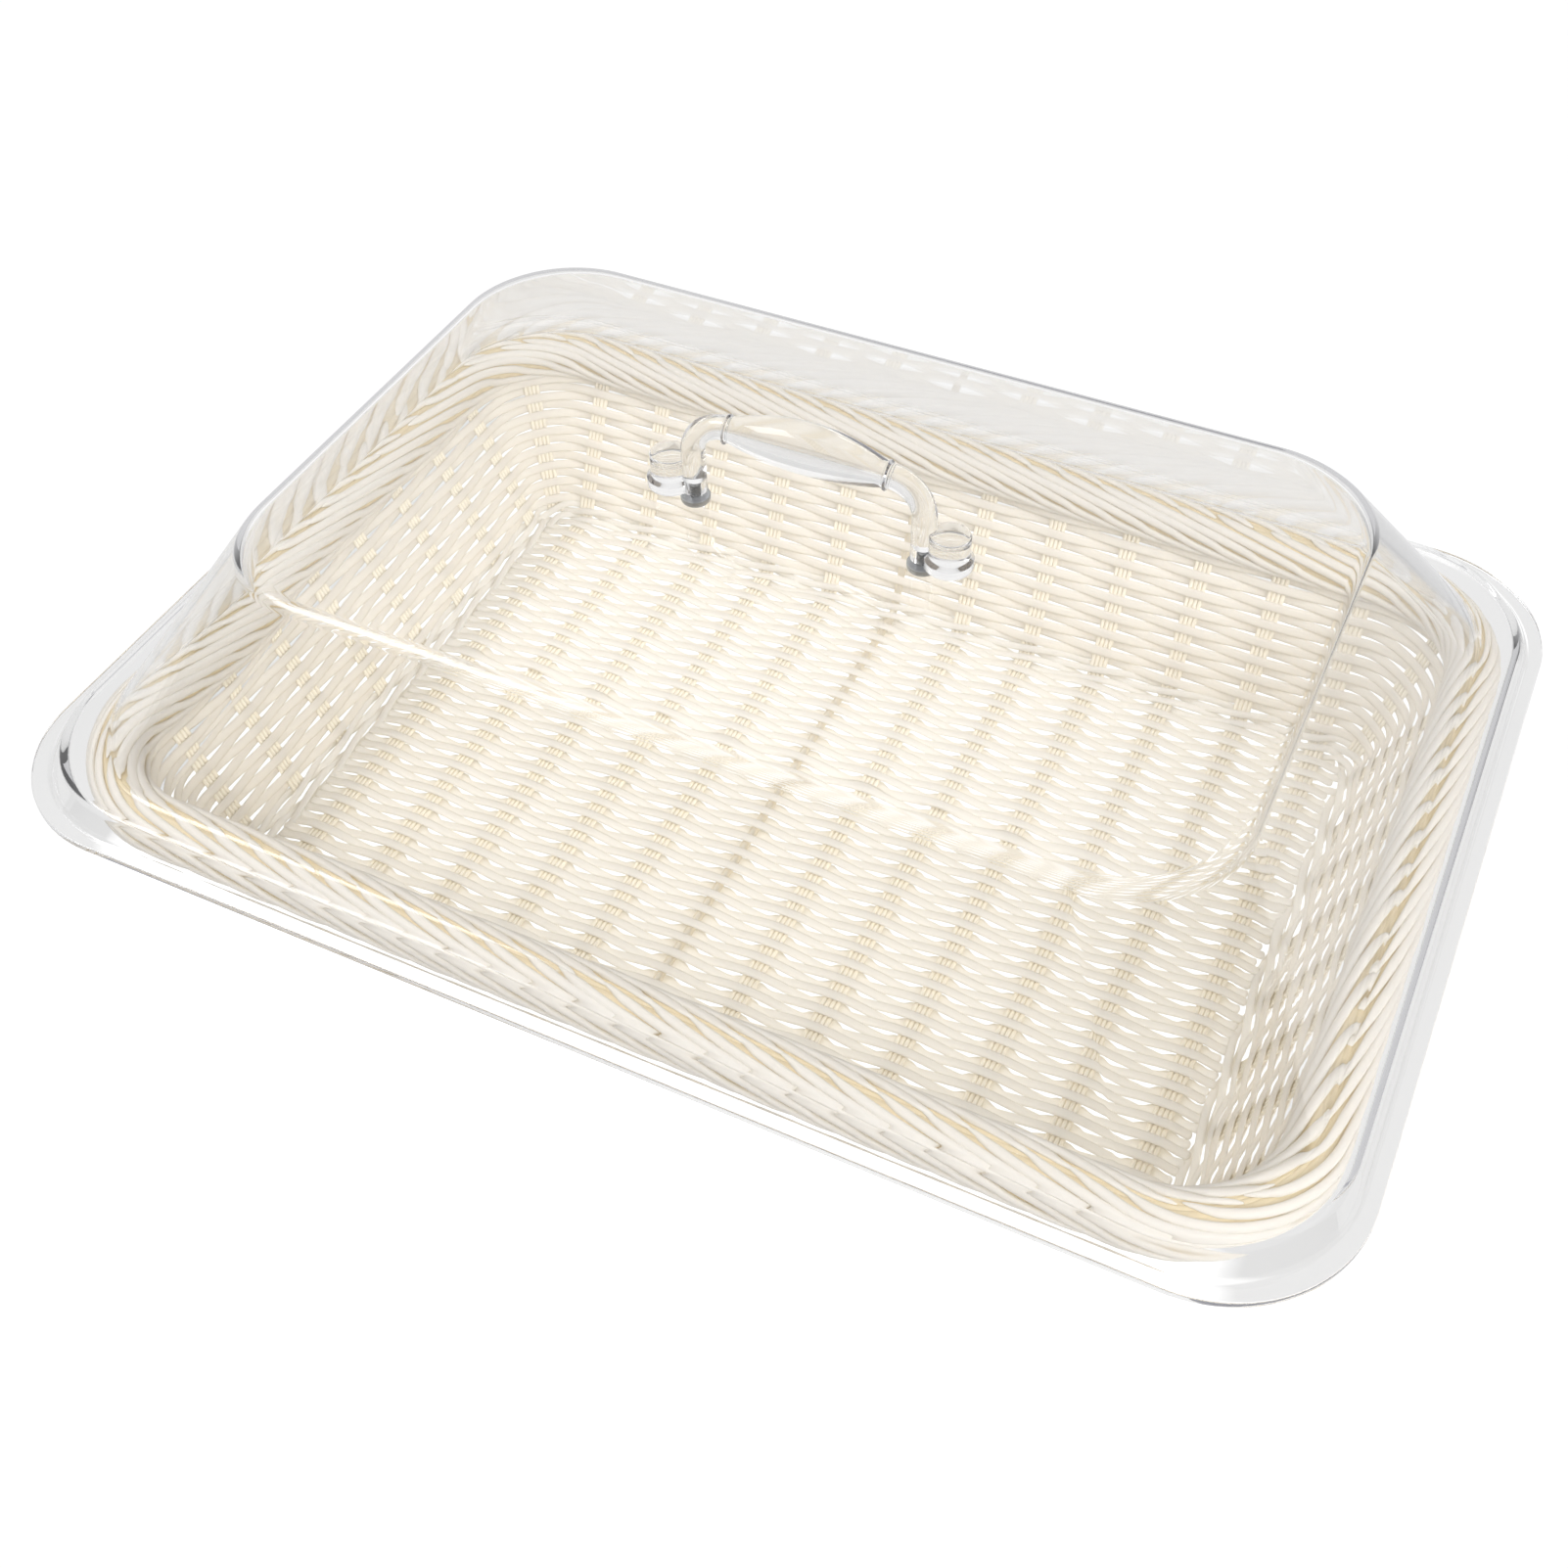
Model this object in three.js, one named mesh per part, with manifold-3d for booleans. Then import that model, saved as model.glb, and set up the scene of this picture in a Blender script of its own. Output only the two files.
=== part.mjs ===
// Rectangular woven bread basket with a clear lift-off lid.
// Millimetres, +Z up. The origin lies on the table under the middle of the basket,
// +X runs along the long side and the front is at -Y.

import * as THREE from 'three';
import { mergeVertices } from 'three/addons/utils/BufferGeometryUtils.js';
import Module from 'manifold-3d';

// Strands of the basket
const CLEARANCE = 0.3;
const STAKE_WIDTH = 6.4;
const STAKE_THICKNESS = 2.2;
const WEAVER_THICKNESS = 1;
const ROW_GAP = 0.7;
const STAKE_LAP = 0.6;
const RIB_DIAMETER = 2.8;
const WIRE_SIDES = 8;

// Basket floor and walls, measured on the middle surface of the weave
const FLOOR_LENGTH = 337;
const FLOOR_WIDTH = 218.6;
const FLOOR_CORNER = 12;
const FLOOR_ROWS = 15;
const CROSS_STAKES = 12;
const RIB_COLUMN = 5;
const END_STAKES = 8;
const WALL_FLARE = 28;
const WALL_RISE = 63.6;
const WALL_HOOPS = 5;
const HOOP_START = 6;
const UPSET_RADIUS = 6;
const END_STAKE_START = 1.5;
const FLOOR_END_MARGIN = 4.5;
const WALE_DIAMETER = 4;

// Plaited rim: two bundles with the stakes' ends and a wire hoop between them
const RIM_TOP = 72;
const RIM_HEIGHT = 18;
const RIM_OUTER_REACH = 10.5;
const RIM_INNER_REACH = 9.5;
const RIM_OUTER_FLAT = 7;
const RIM_INNER_FLAT = 5;
const RIM_SHOULDER = 2;
const RIM_UNDERCUT = 3.5;
const RIM_WIRE_DEPTH = 4;
const RIM_WIRE_DIAMETER = 2.2;

// Lid
const LID_WALL = 2.5;
const LID_CORNER = 45;
const PANEL_CORNER = 38;
const SHELF_START = 1.7;
const SHELF_WIDTH = 9.7;
const SKIRT_REACH = 4.6;
const SKIRT_DROP = 7.3;
const LIP_WIDTH = 4;
const LIP_EDGE = 0.9;
const LIP_BEND = 0.8;
const LID_TAPER = 41.1;
const LID_RISE = 61.9;
const SKIRT_BEND = 0.8;
const SHELF_BEND = 3;
const CREASE_BEND = 3.5;
const PANEL_BORDER = 8;
const CORNER_STEPS = 8;
const BEND_STEPS = 3;

// Handle, in heights above the lid's panel
const HANDLE_PITCH = 76;
const HANDLE_RISE = 26.3;
const BOW_RADIUS = 11.5;
const LEG_DIAMETER = 7.6;
const GRIP_DIAMETER = 15.6;
const GRIP_END_DIAMETER = 8.2;
const GRIP_ARCH = 1.2;
const GRIP_STEPS = 10;
const BOW_STEPS = 5;
const BEAD_DIAMETER = 9.4;
const BEAD_WIDTH = 1.2;
const HANDLE_SIDES = 14;
const FOOT_OFFSET = 8.3;
const FOOT_DIAMETER = 15;
const FOOT_CAP_DIAMETER = 12.6;
const FOOT_FLANGE = 3;
const FOOT_HEIGHT = 11.6;
const FOOT_CHAMFER = 0.9;

// Screws that hold the handle, driven from under the panel
const SCREW_DIAMETER = 3.6;
const SCREW_HEAD_DIAMETER = 9.4;
const SCREW_HEAD_HEIGHT = 2.6;
const SCREW_HEAD_EDGE = 1.2;
const SCREW_REACH = 4;
const SCREW_TIP = 1;
const SCREW_SIDES = 16;

// Levels and slopes that follow from the sizes above
const STAKE_FACE = Math.max(STAKE_THICKNESS, RIB_DIAMETER) / 2 + CLEARANCE;
const CROSSING = STAKE_FACE + WEAVER_THICKNESS / 2;
const FLOOR_LEVEL = CROSSING + WEAVER_THICKNESS / 2;
const WALL_ANGLE = Math.atan2(WALL_FLARE, WALL_RISE);
const UPSET_TURN = Math.PI / 2 - WALL_ANGLE;
const UPSET_RUN = UPSET_RADIUS * Math.tan(UPSET_TURN / 2);
const SLOT_HALF = STAKE_FACE / Math.cos(WALL_ANGLE);
const RIM_BASE = RIM_TOP - RIM_HEIGHT;
const RIM_WIRE_LEVEL = RIM_TOP - RIM_WIRE_DEPTH;
const STAKE_TOP = slantAt(RIM_WIRE_LEVEL) - RIM_WIRE_DIAMETER / 2 - CLEARANCE;
const SHELF_LEVEL = RIM_TOP + CLEARANCE + LID_WALL;
const PANEL_LEVEL = SHELF_LEVEL + LID_RISE;
const LIP_LEVEL = SHELF_LEVEL - SKIRT_DROP;
const SHELF_INSET = LIP_WIDTH + SKIRT_REACH;
const LID_REACH = WALL_FLARE + SHELF_START + SHELF_WIDTH + SHELF_INSET;
const PANEL_INSET = SHELF_INSET + SHELF_WIDTH + LID_TAPER;

const wasm = await Module();
wasm.setup();

// Distance up the sloping wall from the floor to a level.
function slantAt(level) {
  return (level - FLOOR_LEVEL) / Math.cos(WALL_ANGLE);
}

// Outward distance of the wall's middle surface from the floor's outline at a level.
function flareAt(level) {
  return (level - FLOOR_LEVEL) * Math.tan(WALL_ANGLE);
}

// A polyline with each inner corner replaced by an arc.
function roundCorners(points, radii, steps) {
  const rounded = [points[0]];
  for (let i = 1; i < points.length - 1; i += 1) {
    const back = points[i - 1].clone().sub(points[i]).normalize();
    const ahead = points[i + 1].clone().sub(points[i]).normalize();
    const halfAngle = Math.acos(back.dot(ahead)) / 2;
    const middle = back.clone().add(ahead).normalize();
    const centre = points[i].clone().addScaledVector(middle, radii[i] / Math.sin(halfAngle));
    const tangent = radii[i] / Math.tan(halfAngle);
    const start = points[i].clone().addScaledVector(back, tangent).sub(centre);
    const end = points[i].clone().addScaledVector(ahead, tangent).sub(centre);
    const turn = Math.atan2(start.cross(end), start.dot(end));
    for (let step = 0; step <= steps; step += 1) {
      const spoke = start.clone().rotateAround(new THREE.Vector2(), (turn * step) / steps);
      rounded.push(centre.clone().add(spoke));
    }
  }
  rounded.push(points[points.length - 1]);
  return rounded;
}

// A polyline moved sideways, to its left for a positive distance, with mitred corners.
function offsetLine(points, distance) {
  const left = (from, to) => {
    const heading = to.clone().sub(from).normalize();
    return new THREE.Vector2(-heading.y, heading.x);
  };
  return points.map((point, i) => {
    const before = left(points[Math.max(i - 1, 0)], points[Math.max(i, 1)]);
    const after = left(points[Math.min(i, points.length - 2)], points[Math.min(i + 1, points.length - 1)]);
    const mitre = before.clone().add(after).normalize();
    return point.clone().addScaledVector(mitre, distance / mitre.dot(before));
  });
}

// A closed surface over a row of loops with equal counts: either the last loop joins the first,
// or flat caps close the two ends.
function skin(loops, joined) {
  const count = loops[0].length;
  const rows = joined ? loops.length : loops.length - 1;
  const indices = [];
  for (let row = 0; row < rows; row += 1) {
    const here = row * count;
    const there = ((row + 1) % loops.length) * count;
    for (let i = 0; i < count; i += 1) {
      const next = (i + 1) % count;
      indices.push(here + i, here + next, there + next);
      indices.push(here + i, there + next, there + i);
    }
  }
  if (!joined) {
    const last = (loops.length - 1) * count;
    for (let i = 1; i < count - 1; i += 1) {
      indices.push(0, i + 1, i);
      indices.push(last, last + i, last + i + 1);
    }
  }
  const geometry = new THREE.BufferGeometry().setFromPoints(loops.flat());
  geometry.setIndex(facingOut(loops.flat(), indices));
  return geometry;
}

// Triangles turned round where they enclose a negative volume.
function facingOut(points, indices) {
  let volume = 0;
  for (let i = 0; i < indices.length; i += 3) {
    const [a, b, c] = indices.slice(i, i + 3).map((index) => points[index]);
    volume += a.dot(b.clone().cross(c));
  }
  return volume < 0 ? indices.reverse() : indices;
}

// The closed solid of a geometry whose shared vertices are merged.
function solidOf(geometry) {
  const bare = geometry.clone();
  bare.deleteAttribute('normal');
  bare.deleteAttribute('uv');
  const merged = mergeVertices(bare);
  return new wasm.Manifold(new wasm.Mesh({
    numProp: 3,
    vertProperties: new Float32Array(merged.attributes.position.array),
    triVerts: new Uint32Array(merged.index.array),
  }));
}

function geometryOf(solid) {
  const mesh = solid.getMesh();
  const geometry = new THREE.BufferGeometry();
  geometry.setAttribute('position', new THREE.BufferAttribute(mesh.vertProperties, 3));
  geometry.setIndex(new THREE.BufferAttribute(mesh.triVerts, 1));
  return geometry;
}

// A rounded rectangle round the origin as a loop of points at one level.
function roundedLoop(halfLength, halfWidth, corner, level) {
  const shape = new THREE.Shape();
  const x = halfLength - corner;
  const y = halfWidth - corner;
  shape.absarc(x, -y, corner, -Math.PI / 2, 0);
  shape.absarc(x, y, corner, 0, Math.PI / 2);
  shape.absarc(-x, y, corner, Math.PI / 2, Math.PI);
  shape.absarc(-x, -y, corner, Math.PI, 1.5 * Math.PI);
  return shape.getPoints(CORNER_STEPS / 2).map((point) => new THREE.Vector3(point.x, point.y, level));
}

// The basket's outline at a distance outside the floor's outline.
function basketLoop(reach, level) {
  return roundedLoop(FLOOR_LENGTH / 2 + reach, FLOOR_WIDTH / 2 + reach, FLOOR_CORNER + reach, level);
}

// The lid's outline at a distance inside the edge of its lip.
function lidLoop(inset, level) {
  const corner = THREE.MathUtils.lerp(LID_CORNER, PANEL_CORNER, inset / PANEL_INSET);
  const reach = LID_REACH - inset;
  return roundedLoop(FLOOR_LENGTH / 2 + reach, FLOOR_WIDTH / 2 + reach, corner, level);
}

// A round bar along a path in an upright plane, with one radius for each point of the path.
function roundBar(path, radii, runAxis, sideAxis, sides) {
  const up = new THREE.Vector3(0, 0, 1);
  const loops = path.map((point, i) => {
    const before = path[Math.max(i - 1, 0)];
    const after = path[Math.min(i + 1, path.length - 1)];
    const heading = after.clone().sub(before).normalize();
    const across = runAxis.clone().multiplyScalar(-heading.y).addScaledVector(up, heading.x);
    return Array.from({ length: sides }, (_, side) => {
      const angle = (2 * Math.PI * side) / sides;
      return runAxis.clone().multiplyScalar(point.x).addScaledVector(up, point.y)
        .addScaledVector(across, radii[i] * Math.cos(angle))
        .addScaledVector(sideAxis, radii[i] * Math.sin(angle));
    });
  });
  return skin(loops, false);
}

// A flat strip of stake: its bent middle line drawn as a profile and extruded to the strip's width.
function strip(path) {
  const outline = [
    ...offsetLine(path, STAKE_THICKNESS / 2),
    ...offsetLine(path, -STAKE_THICKNESS / 2).reverse(),
  ];
  const geometry = new THREE.ExtrudeGeometry(new THREE.Shape(outline), {
    depth: STAKE_WIDTH,
    bevelEnabled: false,
  });
  return geometry.translate(0, 0, -STAKE_WIDTH / 2);
}

// Place of one of the stakes spread evenly over a straight side, whose outer edges end with the side.
function stakePlace(run, index, count) {
  const half = run - STAKE_WIDTH / 2;
  return THREE.MathUtils.lerp(-half, half, index / (count - 1));
}

// Where the stakes stand on the floor's outline, in order round the basket, and which way each faces.
function stakeStations() {
  const longRun = FLOOR_LENGTH / 2 - FLOOR_CORNER;
  const shortRun = FLOOR_WIDTH / 2 - FLOOR_CORNER;
  const sides = [
    { side: 'front', facing: -Math.PI / 2, run: longRun, reach: FLOOR_WIDTH / 2, count: CROSS_STAKES },
    { side: 'right', facing: 0, run: shortRun, reach: FLOOR_LENGTH / 2, count: END_STAKES },
    { side: 'back', facing: Math.PI / 2, run: longRun, reach: FLOOR_WIDTH / 2, count: CROSS_STAKES },
    { side: 'left', facing: Math.PI, run: shortRun, reach: FLOOR_LENGTH / 2, count: END_STAKES },
  ];
  const stations = [];
  for (const { side, facing, run, reach, count } of sides) {
    const outward = new THREE.Vector2(Math.cos(facing), Math.sin(facing));
    const along = new THREE.Vector2(-outward.y, outward.x);
    for (let i = 0; i < count; i += 1) {
      const point = outward.clone().multiplyScalar(reach).addScaledVector(along, stakePlace(run, i, count));
      stations.push({ side, point, facing, outward, along });
    }
    const cornerFacing = facing + Math.PI / 4;
    const diagonal = new THREE.Vector2(Math.cos(cornerFacing), Math.sin(cornerFacing));
    const centre = outward.clone().multiplyScalar(reach - FLOOR_CORNER).addScaledVector(along, run);
    stations.push({
      side: 'corner',
      point: centre.addScaledVector(diagonal, FLOOR_CORNER),
      facing: cornerFacing,
      outward: diagonal,
      along: new THREE.Vector2(-diagonal.y, diagonal.x),
    });
  }
  return stations;
}

// A point of the wall beside a stake: sideways, up the slope and out of the wall's middle surface.
function wallPoint({ point, outward, along }, sideways, slant, out) {
  const reach = slant * Math.sin(WALL_ANGLE) + out * Math.cos(WALL_ANGLE);
  const plan = point.clone().addScaledVector(along, sideways).addScaledVector(outward, reach);
  const level = FLOOR_LEVEL + slant * Math.cos(WALL_ANGLE) - out * Math.sin(WALL_ANGLE);
  return new THREE.Vector3(plan.x, plan.y, level);
}

// Middle line of a stake that crosses the floor and turns up both long walls, in Y and Z.
function crossStakePath() {
  const half = FLOOR_WIDTH / 2;
  const top = new THREE.Vector2(
    half + STAKE_TOP * Math.sin(WALL_ANGLE),
    FLOOR_LEVEL + STAKE_TOP * Math.cos(WALL_ANGLE),
  );
  const points = [
    new THREE.Vector2(-top.x, top.y),
    new THREE.Vector2(-half, FLOOR_LEVEL),
    new THREE.Vector2(half, FLOOR_LEVEL),
    top,
  ];
  return roundCorners(points, [0, UPSET_RADIUS, UPSET_RADIUS, 0], BEND_STEPS);
}

function crossStakePlace(column) {
  return stakePlace(FLOOR_LENGTH / 2 - FLOOR_CORNER, column, CROSS_STAKES);
}

function crossStake() {
  const axes = new THREE.Matrix4().makeBasis(
    new THREE.Vector3(0, 1, 0),
    new THREE.Vector3(0, 0, 1),
    new THREE.Vector3(1, 0, 0),
  );
  return strip(crossStakePath()).applyMatrix4(axes);
}

function wireRib() {
  const path = crossStakePath();
  const radii = path.map(() => RIB_DIAMETER / 2);
  return roundBar(path, radii, new THREE.Vector3(0, 1, 0), new THREE.Vector3(1, 0, 0), WIRE_SIDES);
}

// A stake of an end wall or a corner: a straight strip up the slope, facing +X until it is turned.
// The end stakes run up into the rim, and the corner stakes stop under its curve.
function wallStake(side) {
  const underRim = slantAt(RIM_BASE) - (STAKE_THICKNESS / 2) * Math.tan(WALL_ANGLE) - CLEARANCE;
  const top = side === 'corner' ? underRim : STAKE_TOP;
  const path = [END_STAKE_START, top].map((slant) => new THREE.Vector2(
    slant * Math.sin(WALL_ANGLE),
    FLOOR_LEVEL + slant * Math.cos(WALL_ANGLE),
  ));
  return strip(path).rotateX(Math.PI / 2);
}

// A row of floor weavers: a few strands side by side, taken as one band over and under the stakes.
// The outermost rows stop where the corners begin, and the others run on to the wale.
function floorWeaver(row) {
  const pitch = floorRowPitch();
  const half = (pitch - ROW_GAP) / 2;
  const end = FLOOR_LENGTH / 2 - FLOOR_END_MARGIN;
  const lap = STAKE_WIDTH / 2 + STAKE_LAP;
  const crossings = [];
  for (let column = 0; column < CROSS_STAKES; column += 1) {
    const place = crossStakePlace(column);
    const lift = (row + column) % 2 ? CROSSING : -CROSSING;
    crossings.push([place - lap, lift], [place + lap, lift]);
  }
  if (row > 0 && row < FLOOR_ROWS - 1) {
    crossings.unshift([-end, crossings[0][1]]);
    crossings.push([end, crossings[crossings.length - 1][1]]);
  }
  const loops = crossings.map(([x, lift]) => {
    const low = FLOOR_LEVEL + lift - WEAVER_THICKNESS / 2;
    const high = low + WEAVER_THICKNESS;
    return [[-half, low], [half, low], [half, high], [-half, high]]
      .map(([y, z]) => new THREE.Vector3(x, y, z));
  });
  return skin(loops, false);
}

// The floor rows fill the flat between the bends where the stakes turn up the walls.
function floorRowPitch() {
  return (FLOOR_WIDTH - 2 * UPSET_RUN - 2 * ROW_GAP) / FLOOR_ROWS;
}

// A band of wall weavers that runs once round the basket, out and in past alternate stakes.
function wallHoop(level, stations) {
  const hoopEnd = slantAt(RIM_BASE) - CROSSING * Math.tan(WALL_ANGLE) - ROW_GAP;
  const pitch = (hoopEnd - HOOP_START) / WALL_HOOPS;
  const low = HOOP_START + level * pitch;
  const high = low + pitch - ROW_GAP;
  const lap = STAKE_WIDTH / 2 + STAKE_LAP;
  const edges = [[low, -1], [low, 1], [high, 1], [high, -1]];
  const loops = edges.map(([slant, face]) => stations.flatMap((station, i) => {
    const side = (level + i) % 2 ? 1 : -1;
    const out = side * CROSSING + (face * WEAVER_THICKNESS) / 2;
    return [-lap, lap].map((sideways) => wallPoint(station, sideways, slant, out));
  }));
  return skin(loops, true);
}

// One bundle of the plaited rim from its section, given as reach and level.
function rimBundle(section) {
  return skin(section.map(([reach, level]) => basketLoop(reach, level)), true);
}

function outerRim() {
  const edge = WALL_FLARE + RIM_OUTER_REACH;
  return rimBundle([
    [flareAt(RIM_BASE) + SLOT_HALF, RIM_BASE],
    [edge - RIM_UNDERCUT, RIM_BASE],
    [edge, RIM_BASE + RIM_UNDERCUT],
    [edge, RIM_TOP - RIM_UNDERCUT - RIM_SHOULDER],
    [WALL_FLARE + (RIM_OUTER_FLAT + RIM_OUTER_REACH) / 2, RIM_TOP - RIM_SHOULDER],
    [WALL_FLARE + RIM_OUTER_FLAT, RIM_TOP],
    [flareAt(RIM_TOP) + SLOT_HALF, RIM_TOP],
  ]);
}

function innerRim() {
  const edge = WALL_FLARE - RIM_INNER_REACH;
  return rimBundle([
    [flareAt(RIM_BASE) - SLOT_HALF, RIM_BASE],
    [edge + RIM_SHOULDER, RIM_BASE],
    [edge, RIM_BASE + RIM_UNDERCUT],
    [edge, RIM_TOP - RIM_UNDERCUT - RIM_SHOULDER],
    [WALL_FLARE - (RIM_INNER_FLAT + RIM_INNER_REACH) / 2, RIM_TOP - RIM_SHOULDER],
    [WALL_FLARE - RIM_INNER_FLAT, RIM_TOP],
    [flareAt(RIM_TOP) - SLOT_HALF, RIM_TOP],
  ]);
}

// A round bar that runs once round the basket.
function roundHoop(reach, level, diameter) {
  const loops = Array.from({ length: WIRE_SIDES }, (_, side) => {
    const angle = (2 * Math.PI * side) / WIRE_SIDES;
    const offset = (diameter / 2) * Math.cos(angle);
    return basketLoop(reach + offset, level + (diameter / 2) * Math.sin(angle));
  });
  return skin(loops, true);
}

// The twined wale lies inside the stakes, in the bend where they turn up the walls.
function baseWale() {
  const seat = UPSET_RADIUS - STAKE_FACE - WALE_DIAMETER / 2;
  const reach = seat * Math.sin(UPSET_TURN / 2) - UPSET_RUN;
  const level = FLOOR_LEVEL + UPSET_RADIUS - seat * Math.cos(UPSET_TURN / 2);
  return roundHoop(reach, level, WALE_DIAMETER);
}

// Moulded lid: a flat lip, a skirt round the rim, a shelf that sits on the rim, sloping walls and a flat
// panel, all of one thickness, with the two screw holes of the handle. Each bend is named by its tighter side.
function lidShell() {
  const nose = new THREE.Vector2(0, LIP_LEVEL - LID_WALL / 2);
  const outside = [
    [0, LIP_LEVEL],
    [LIP_WIDTH, LIP_LEVEL],
    [SHELF_INSET, SHELF_LEVEL],
    [SHELF_INSET + SHELF_WIDTH, SHELF_LEVEL],
    [PANEL_INSET, PANEL_LEVEL],
    [PANEL_INSET + PANEL_BORDER, PANEL_LEVEL],
  ].map(([inset, level]) => new THREE.Vector2(inset, level));
  const inside = offsetLine(outside, -LID_WALL);
  const outerBends = [0, LIP_EDGE, LIP_BEND, SKIRT_BEND + LID_WALL, SHELF_BEND, CREASE_BEND + LID_WALL, 0];
  const innerBends = [0, LIP_EDGE, LIP_BEND + LID_WALL, SKIRT_BEND, SHELF_BEND + LID_WALL, CREASE_BEND, 0];
  const outerLine = roundCorners([nose, ...outside], outerBends, BEND_STEPS);
  const innerLine = roundCorners([nose, ...inside], innerBends, BEND_STEPS);
  const profile = [...outerLine.reverse(), ...innerLine.slice(1)];
  let solid = solidOf(skin(profile.map(({ x, y }) => lidLoop(x, y)), false));
  for (const side of [-1, 1]) {
    solid = solid.subtract(screwHole(side, PANEL_LEVEL - 2 * LID_WALL, PANEL_LEVEL + LID_WALL));
  }
  return geometryOf(solid);
}

function screwHole(side, bottom, top) {
  const radius = SCREW_DIAMETER / 2 + CLEARANCE;
  const hole = new THREE.CylinderGeometry(radius, radius, top - bottom, SCREW_SIDES);
  hole.rotateX(Math.PI / 2);
  hole.translate((side * HANDLE_PITCH) / 2, 0, (top + bottom) / 2);
  return solidOf(hole);
}

// Moulded bow handle: two legs, quarter bends, a barrel grip between two beads,
// and a stepped round foot outside each leg.
function lidHandle() {
  const half = HANDLE_PITCH / 2;
  const gripHalf = half - BOW_RADIUS;
  const leg = LEG_DIAMETER / 2;
  const elbow = [[-half, 0], [-half, HANDLE_RISE], [0, HANDLE_RISE]].map(([x, y]) => new THREE.Vector2(x, y));
  const path = roundCorners(elbow, [0, BOW_RADIUS, 0], BOW_STEPS).slice(0, -2);
  const radii = path.map(() => leg);
  for (const run of [0, BEAD_WIDTH]) {
    path.push(new THREE.Vector2(run - gripHalf, HANDLE_RISE));
    radii.push(BEAD_DIAMETER / 2);
  }
  const barrel = gripHalf - 2 * BEAD_WIDTH;
  for (let step = 0; step <= GRIP_STEPS / 2; step += 1) {
    const share = 1 - step / (GRIP_STEPS / 2);
    const swell = 1 - share * share;
    path.push(new THREE.Vector2(-barrel * share, HANDLE_RISE + GRIP_ARCH * swell));
    radii.push(THREE.MathUtils.lerp(GRIP_END_DIAMETER, GRIP_DIAMETER, swell) / 2);
  }
  const mirrored = path.slice(0, -1).reverse().map(({ x, y }) => new THREE.Vector2(-x, y));
  const bow = roundBar(
    [...path, ...mirrored],
    [...radii, ...radii.slice(0, -1).reverse()],
    new THREE.Vector3(1, 0, 0),
    new THREE.Vector3(0, 1, 0),
    HANDLE_SIDES,
  );
  let solid = solidOf(bow);
  for (const side of [-1, 1]) {
    solid = solid.add(handleFoot(side));
    solid = solid.subtract(screwHole(side, -LEG_DIAMETER, SCREW_REACH + CLEARANCE));
  }
  return geometryOf(solid);
}

function handleFoot(side) {
  const flange = FOOT_DIAMETER / 2;
  const cap = FOOT_CAP_DIAMETER / 2;
  const profile = [
    [0, 0],
    [flange, 0],
    [flange, FOOT_FLANGE],
    [cap, FOOT_FLANGE + flange - cap],
    [cap, FOOT_HEIGHT - FOOT_CHAMFER],
    [cap - FOOT_CHAMFER, FOOT_HEIGHT],
    [0, FOOT_HEIGHT],
  ].map(([radius, height]) => new THREE.Vector2(radius, height));
  const foot = new THREE.LatheGeometry(profile, HANDLE_SIDES).rotateX(Math.PI / 2);
  return solidOf(foot.translate(side * (HANDLE_PITCH / 2 + FOOT_OFFSET), 0, 0));
}

// Pan-head screw with its head under the panel, heights measured from the panel's upper face.
function handleScrew() {
  const seat = -LID_WALL - CLEARANCE;
  const head = SCREW_HEAD_DIAMETER / 2;
  const shank = SCREW_DIAMETER / 2;
  const profile = [
    [0, seat - SCREW_HEAD_HEIGHT],
    [head - SCREW_HEAD_EDGE, seat - SCREW_HEAD_HEIGHT],
    [head, seat - SCREW_HEAD_HEIGHT + SCREW_HEAD_EDGE],
    [head, seat],
    [shank, seat],
    [shank, SCREW_REACH - SCREW_TIP],
    [shank - SCREW_TIP, SCREW_REACH],
    [0, SCREW_REACH],
  ].map(([radius, height]) => new THREE.Vector2(radius, height));
  return new THREE.LatheGeometry(profile, SCREW_SIDES).rotateX(Math.PI / 2);
}

const FINISHES = {
  weaver: { color: 0xf3eee2, roughness: 0.5, metalness: 0 },
  stake: { color: 0xf3e2bb, roughness: 0.5, metalness: 0 },
  wire: { color: 0x9b9c9a, roughness: 0.35, metalness: 1 },
  clear: { color: 0xeff3f4, roughness: 0.05, metalness: 0, transparent: true, opacity: 0.3 },
  screw: { color: 0x75787a, roughness: 0.3, metalness: 1 },
};

function piece(name, geometry, finish) {
  const mesh = new THREE.Mesh(geometry, new THREE.MeshStandardMaterial(FINISHES[finish]));
  mesh.name = name;
  return mesh;
}

const numbered = (name, index) => `${name}_${String(index + 1).padStart(2, '0')}`;

function makeFloor() {
  const floor = new THREE.Group();
  const pitch = floorRowPitch();
  for (let row = 0; row < FLOOR_ROWS; row += 1) {
    const weaver = piece(numbered('floor_weaver', row), floorWeaver(row), 'weaver');
    weaver.position.y = (row - (FLOOR_ROWS - 1) / 2) * pitch;
    floor.add(weaver);
  }
  for (let column = 0; column < CROSS_STAKES; column += 1) {
    const stake = column === RIB_COLUMN
      ? piece('wire_rib', wireRib(), 'wire')
      : piece(numbered('cross_stake', column), crossStake(), 'stake');
    stake.position.x = crossStakePlace(column);
    floor.add(stake);
  }
  return floor;
}

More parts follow.
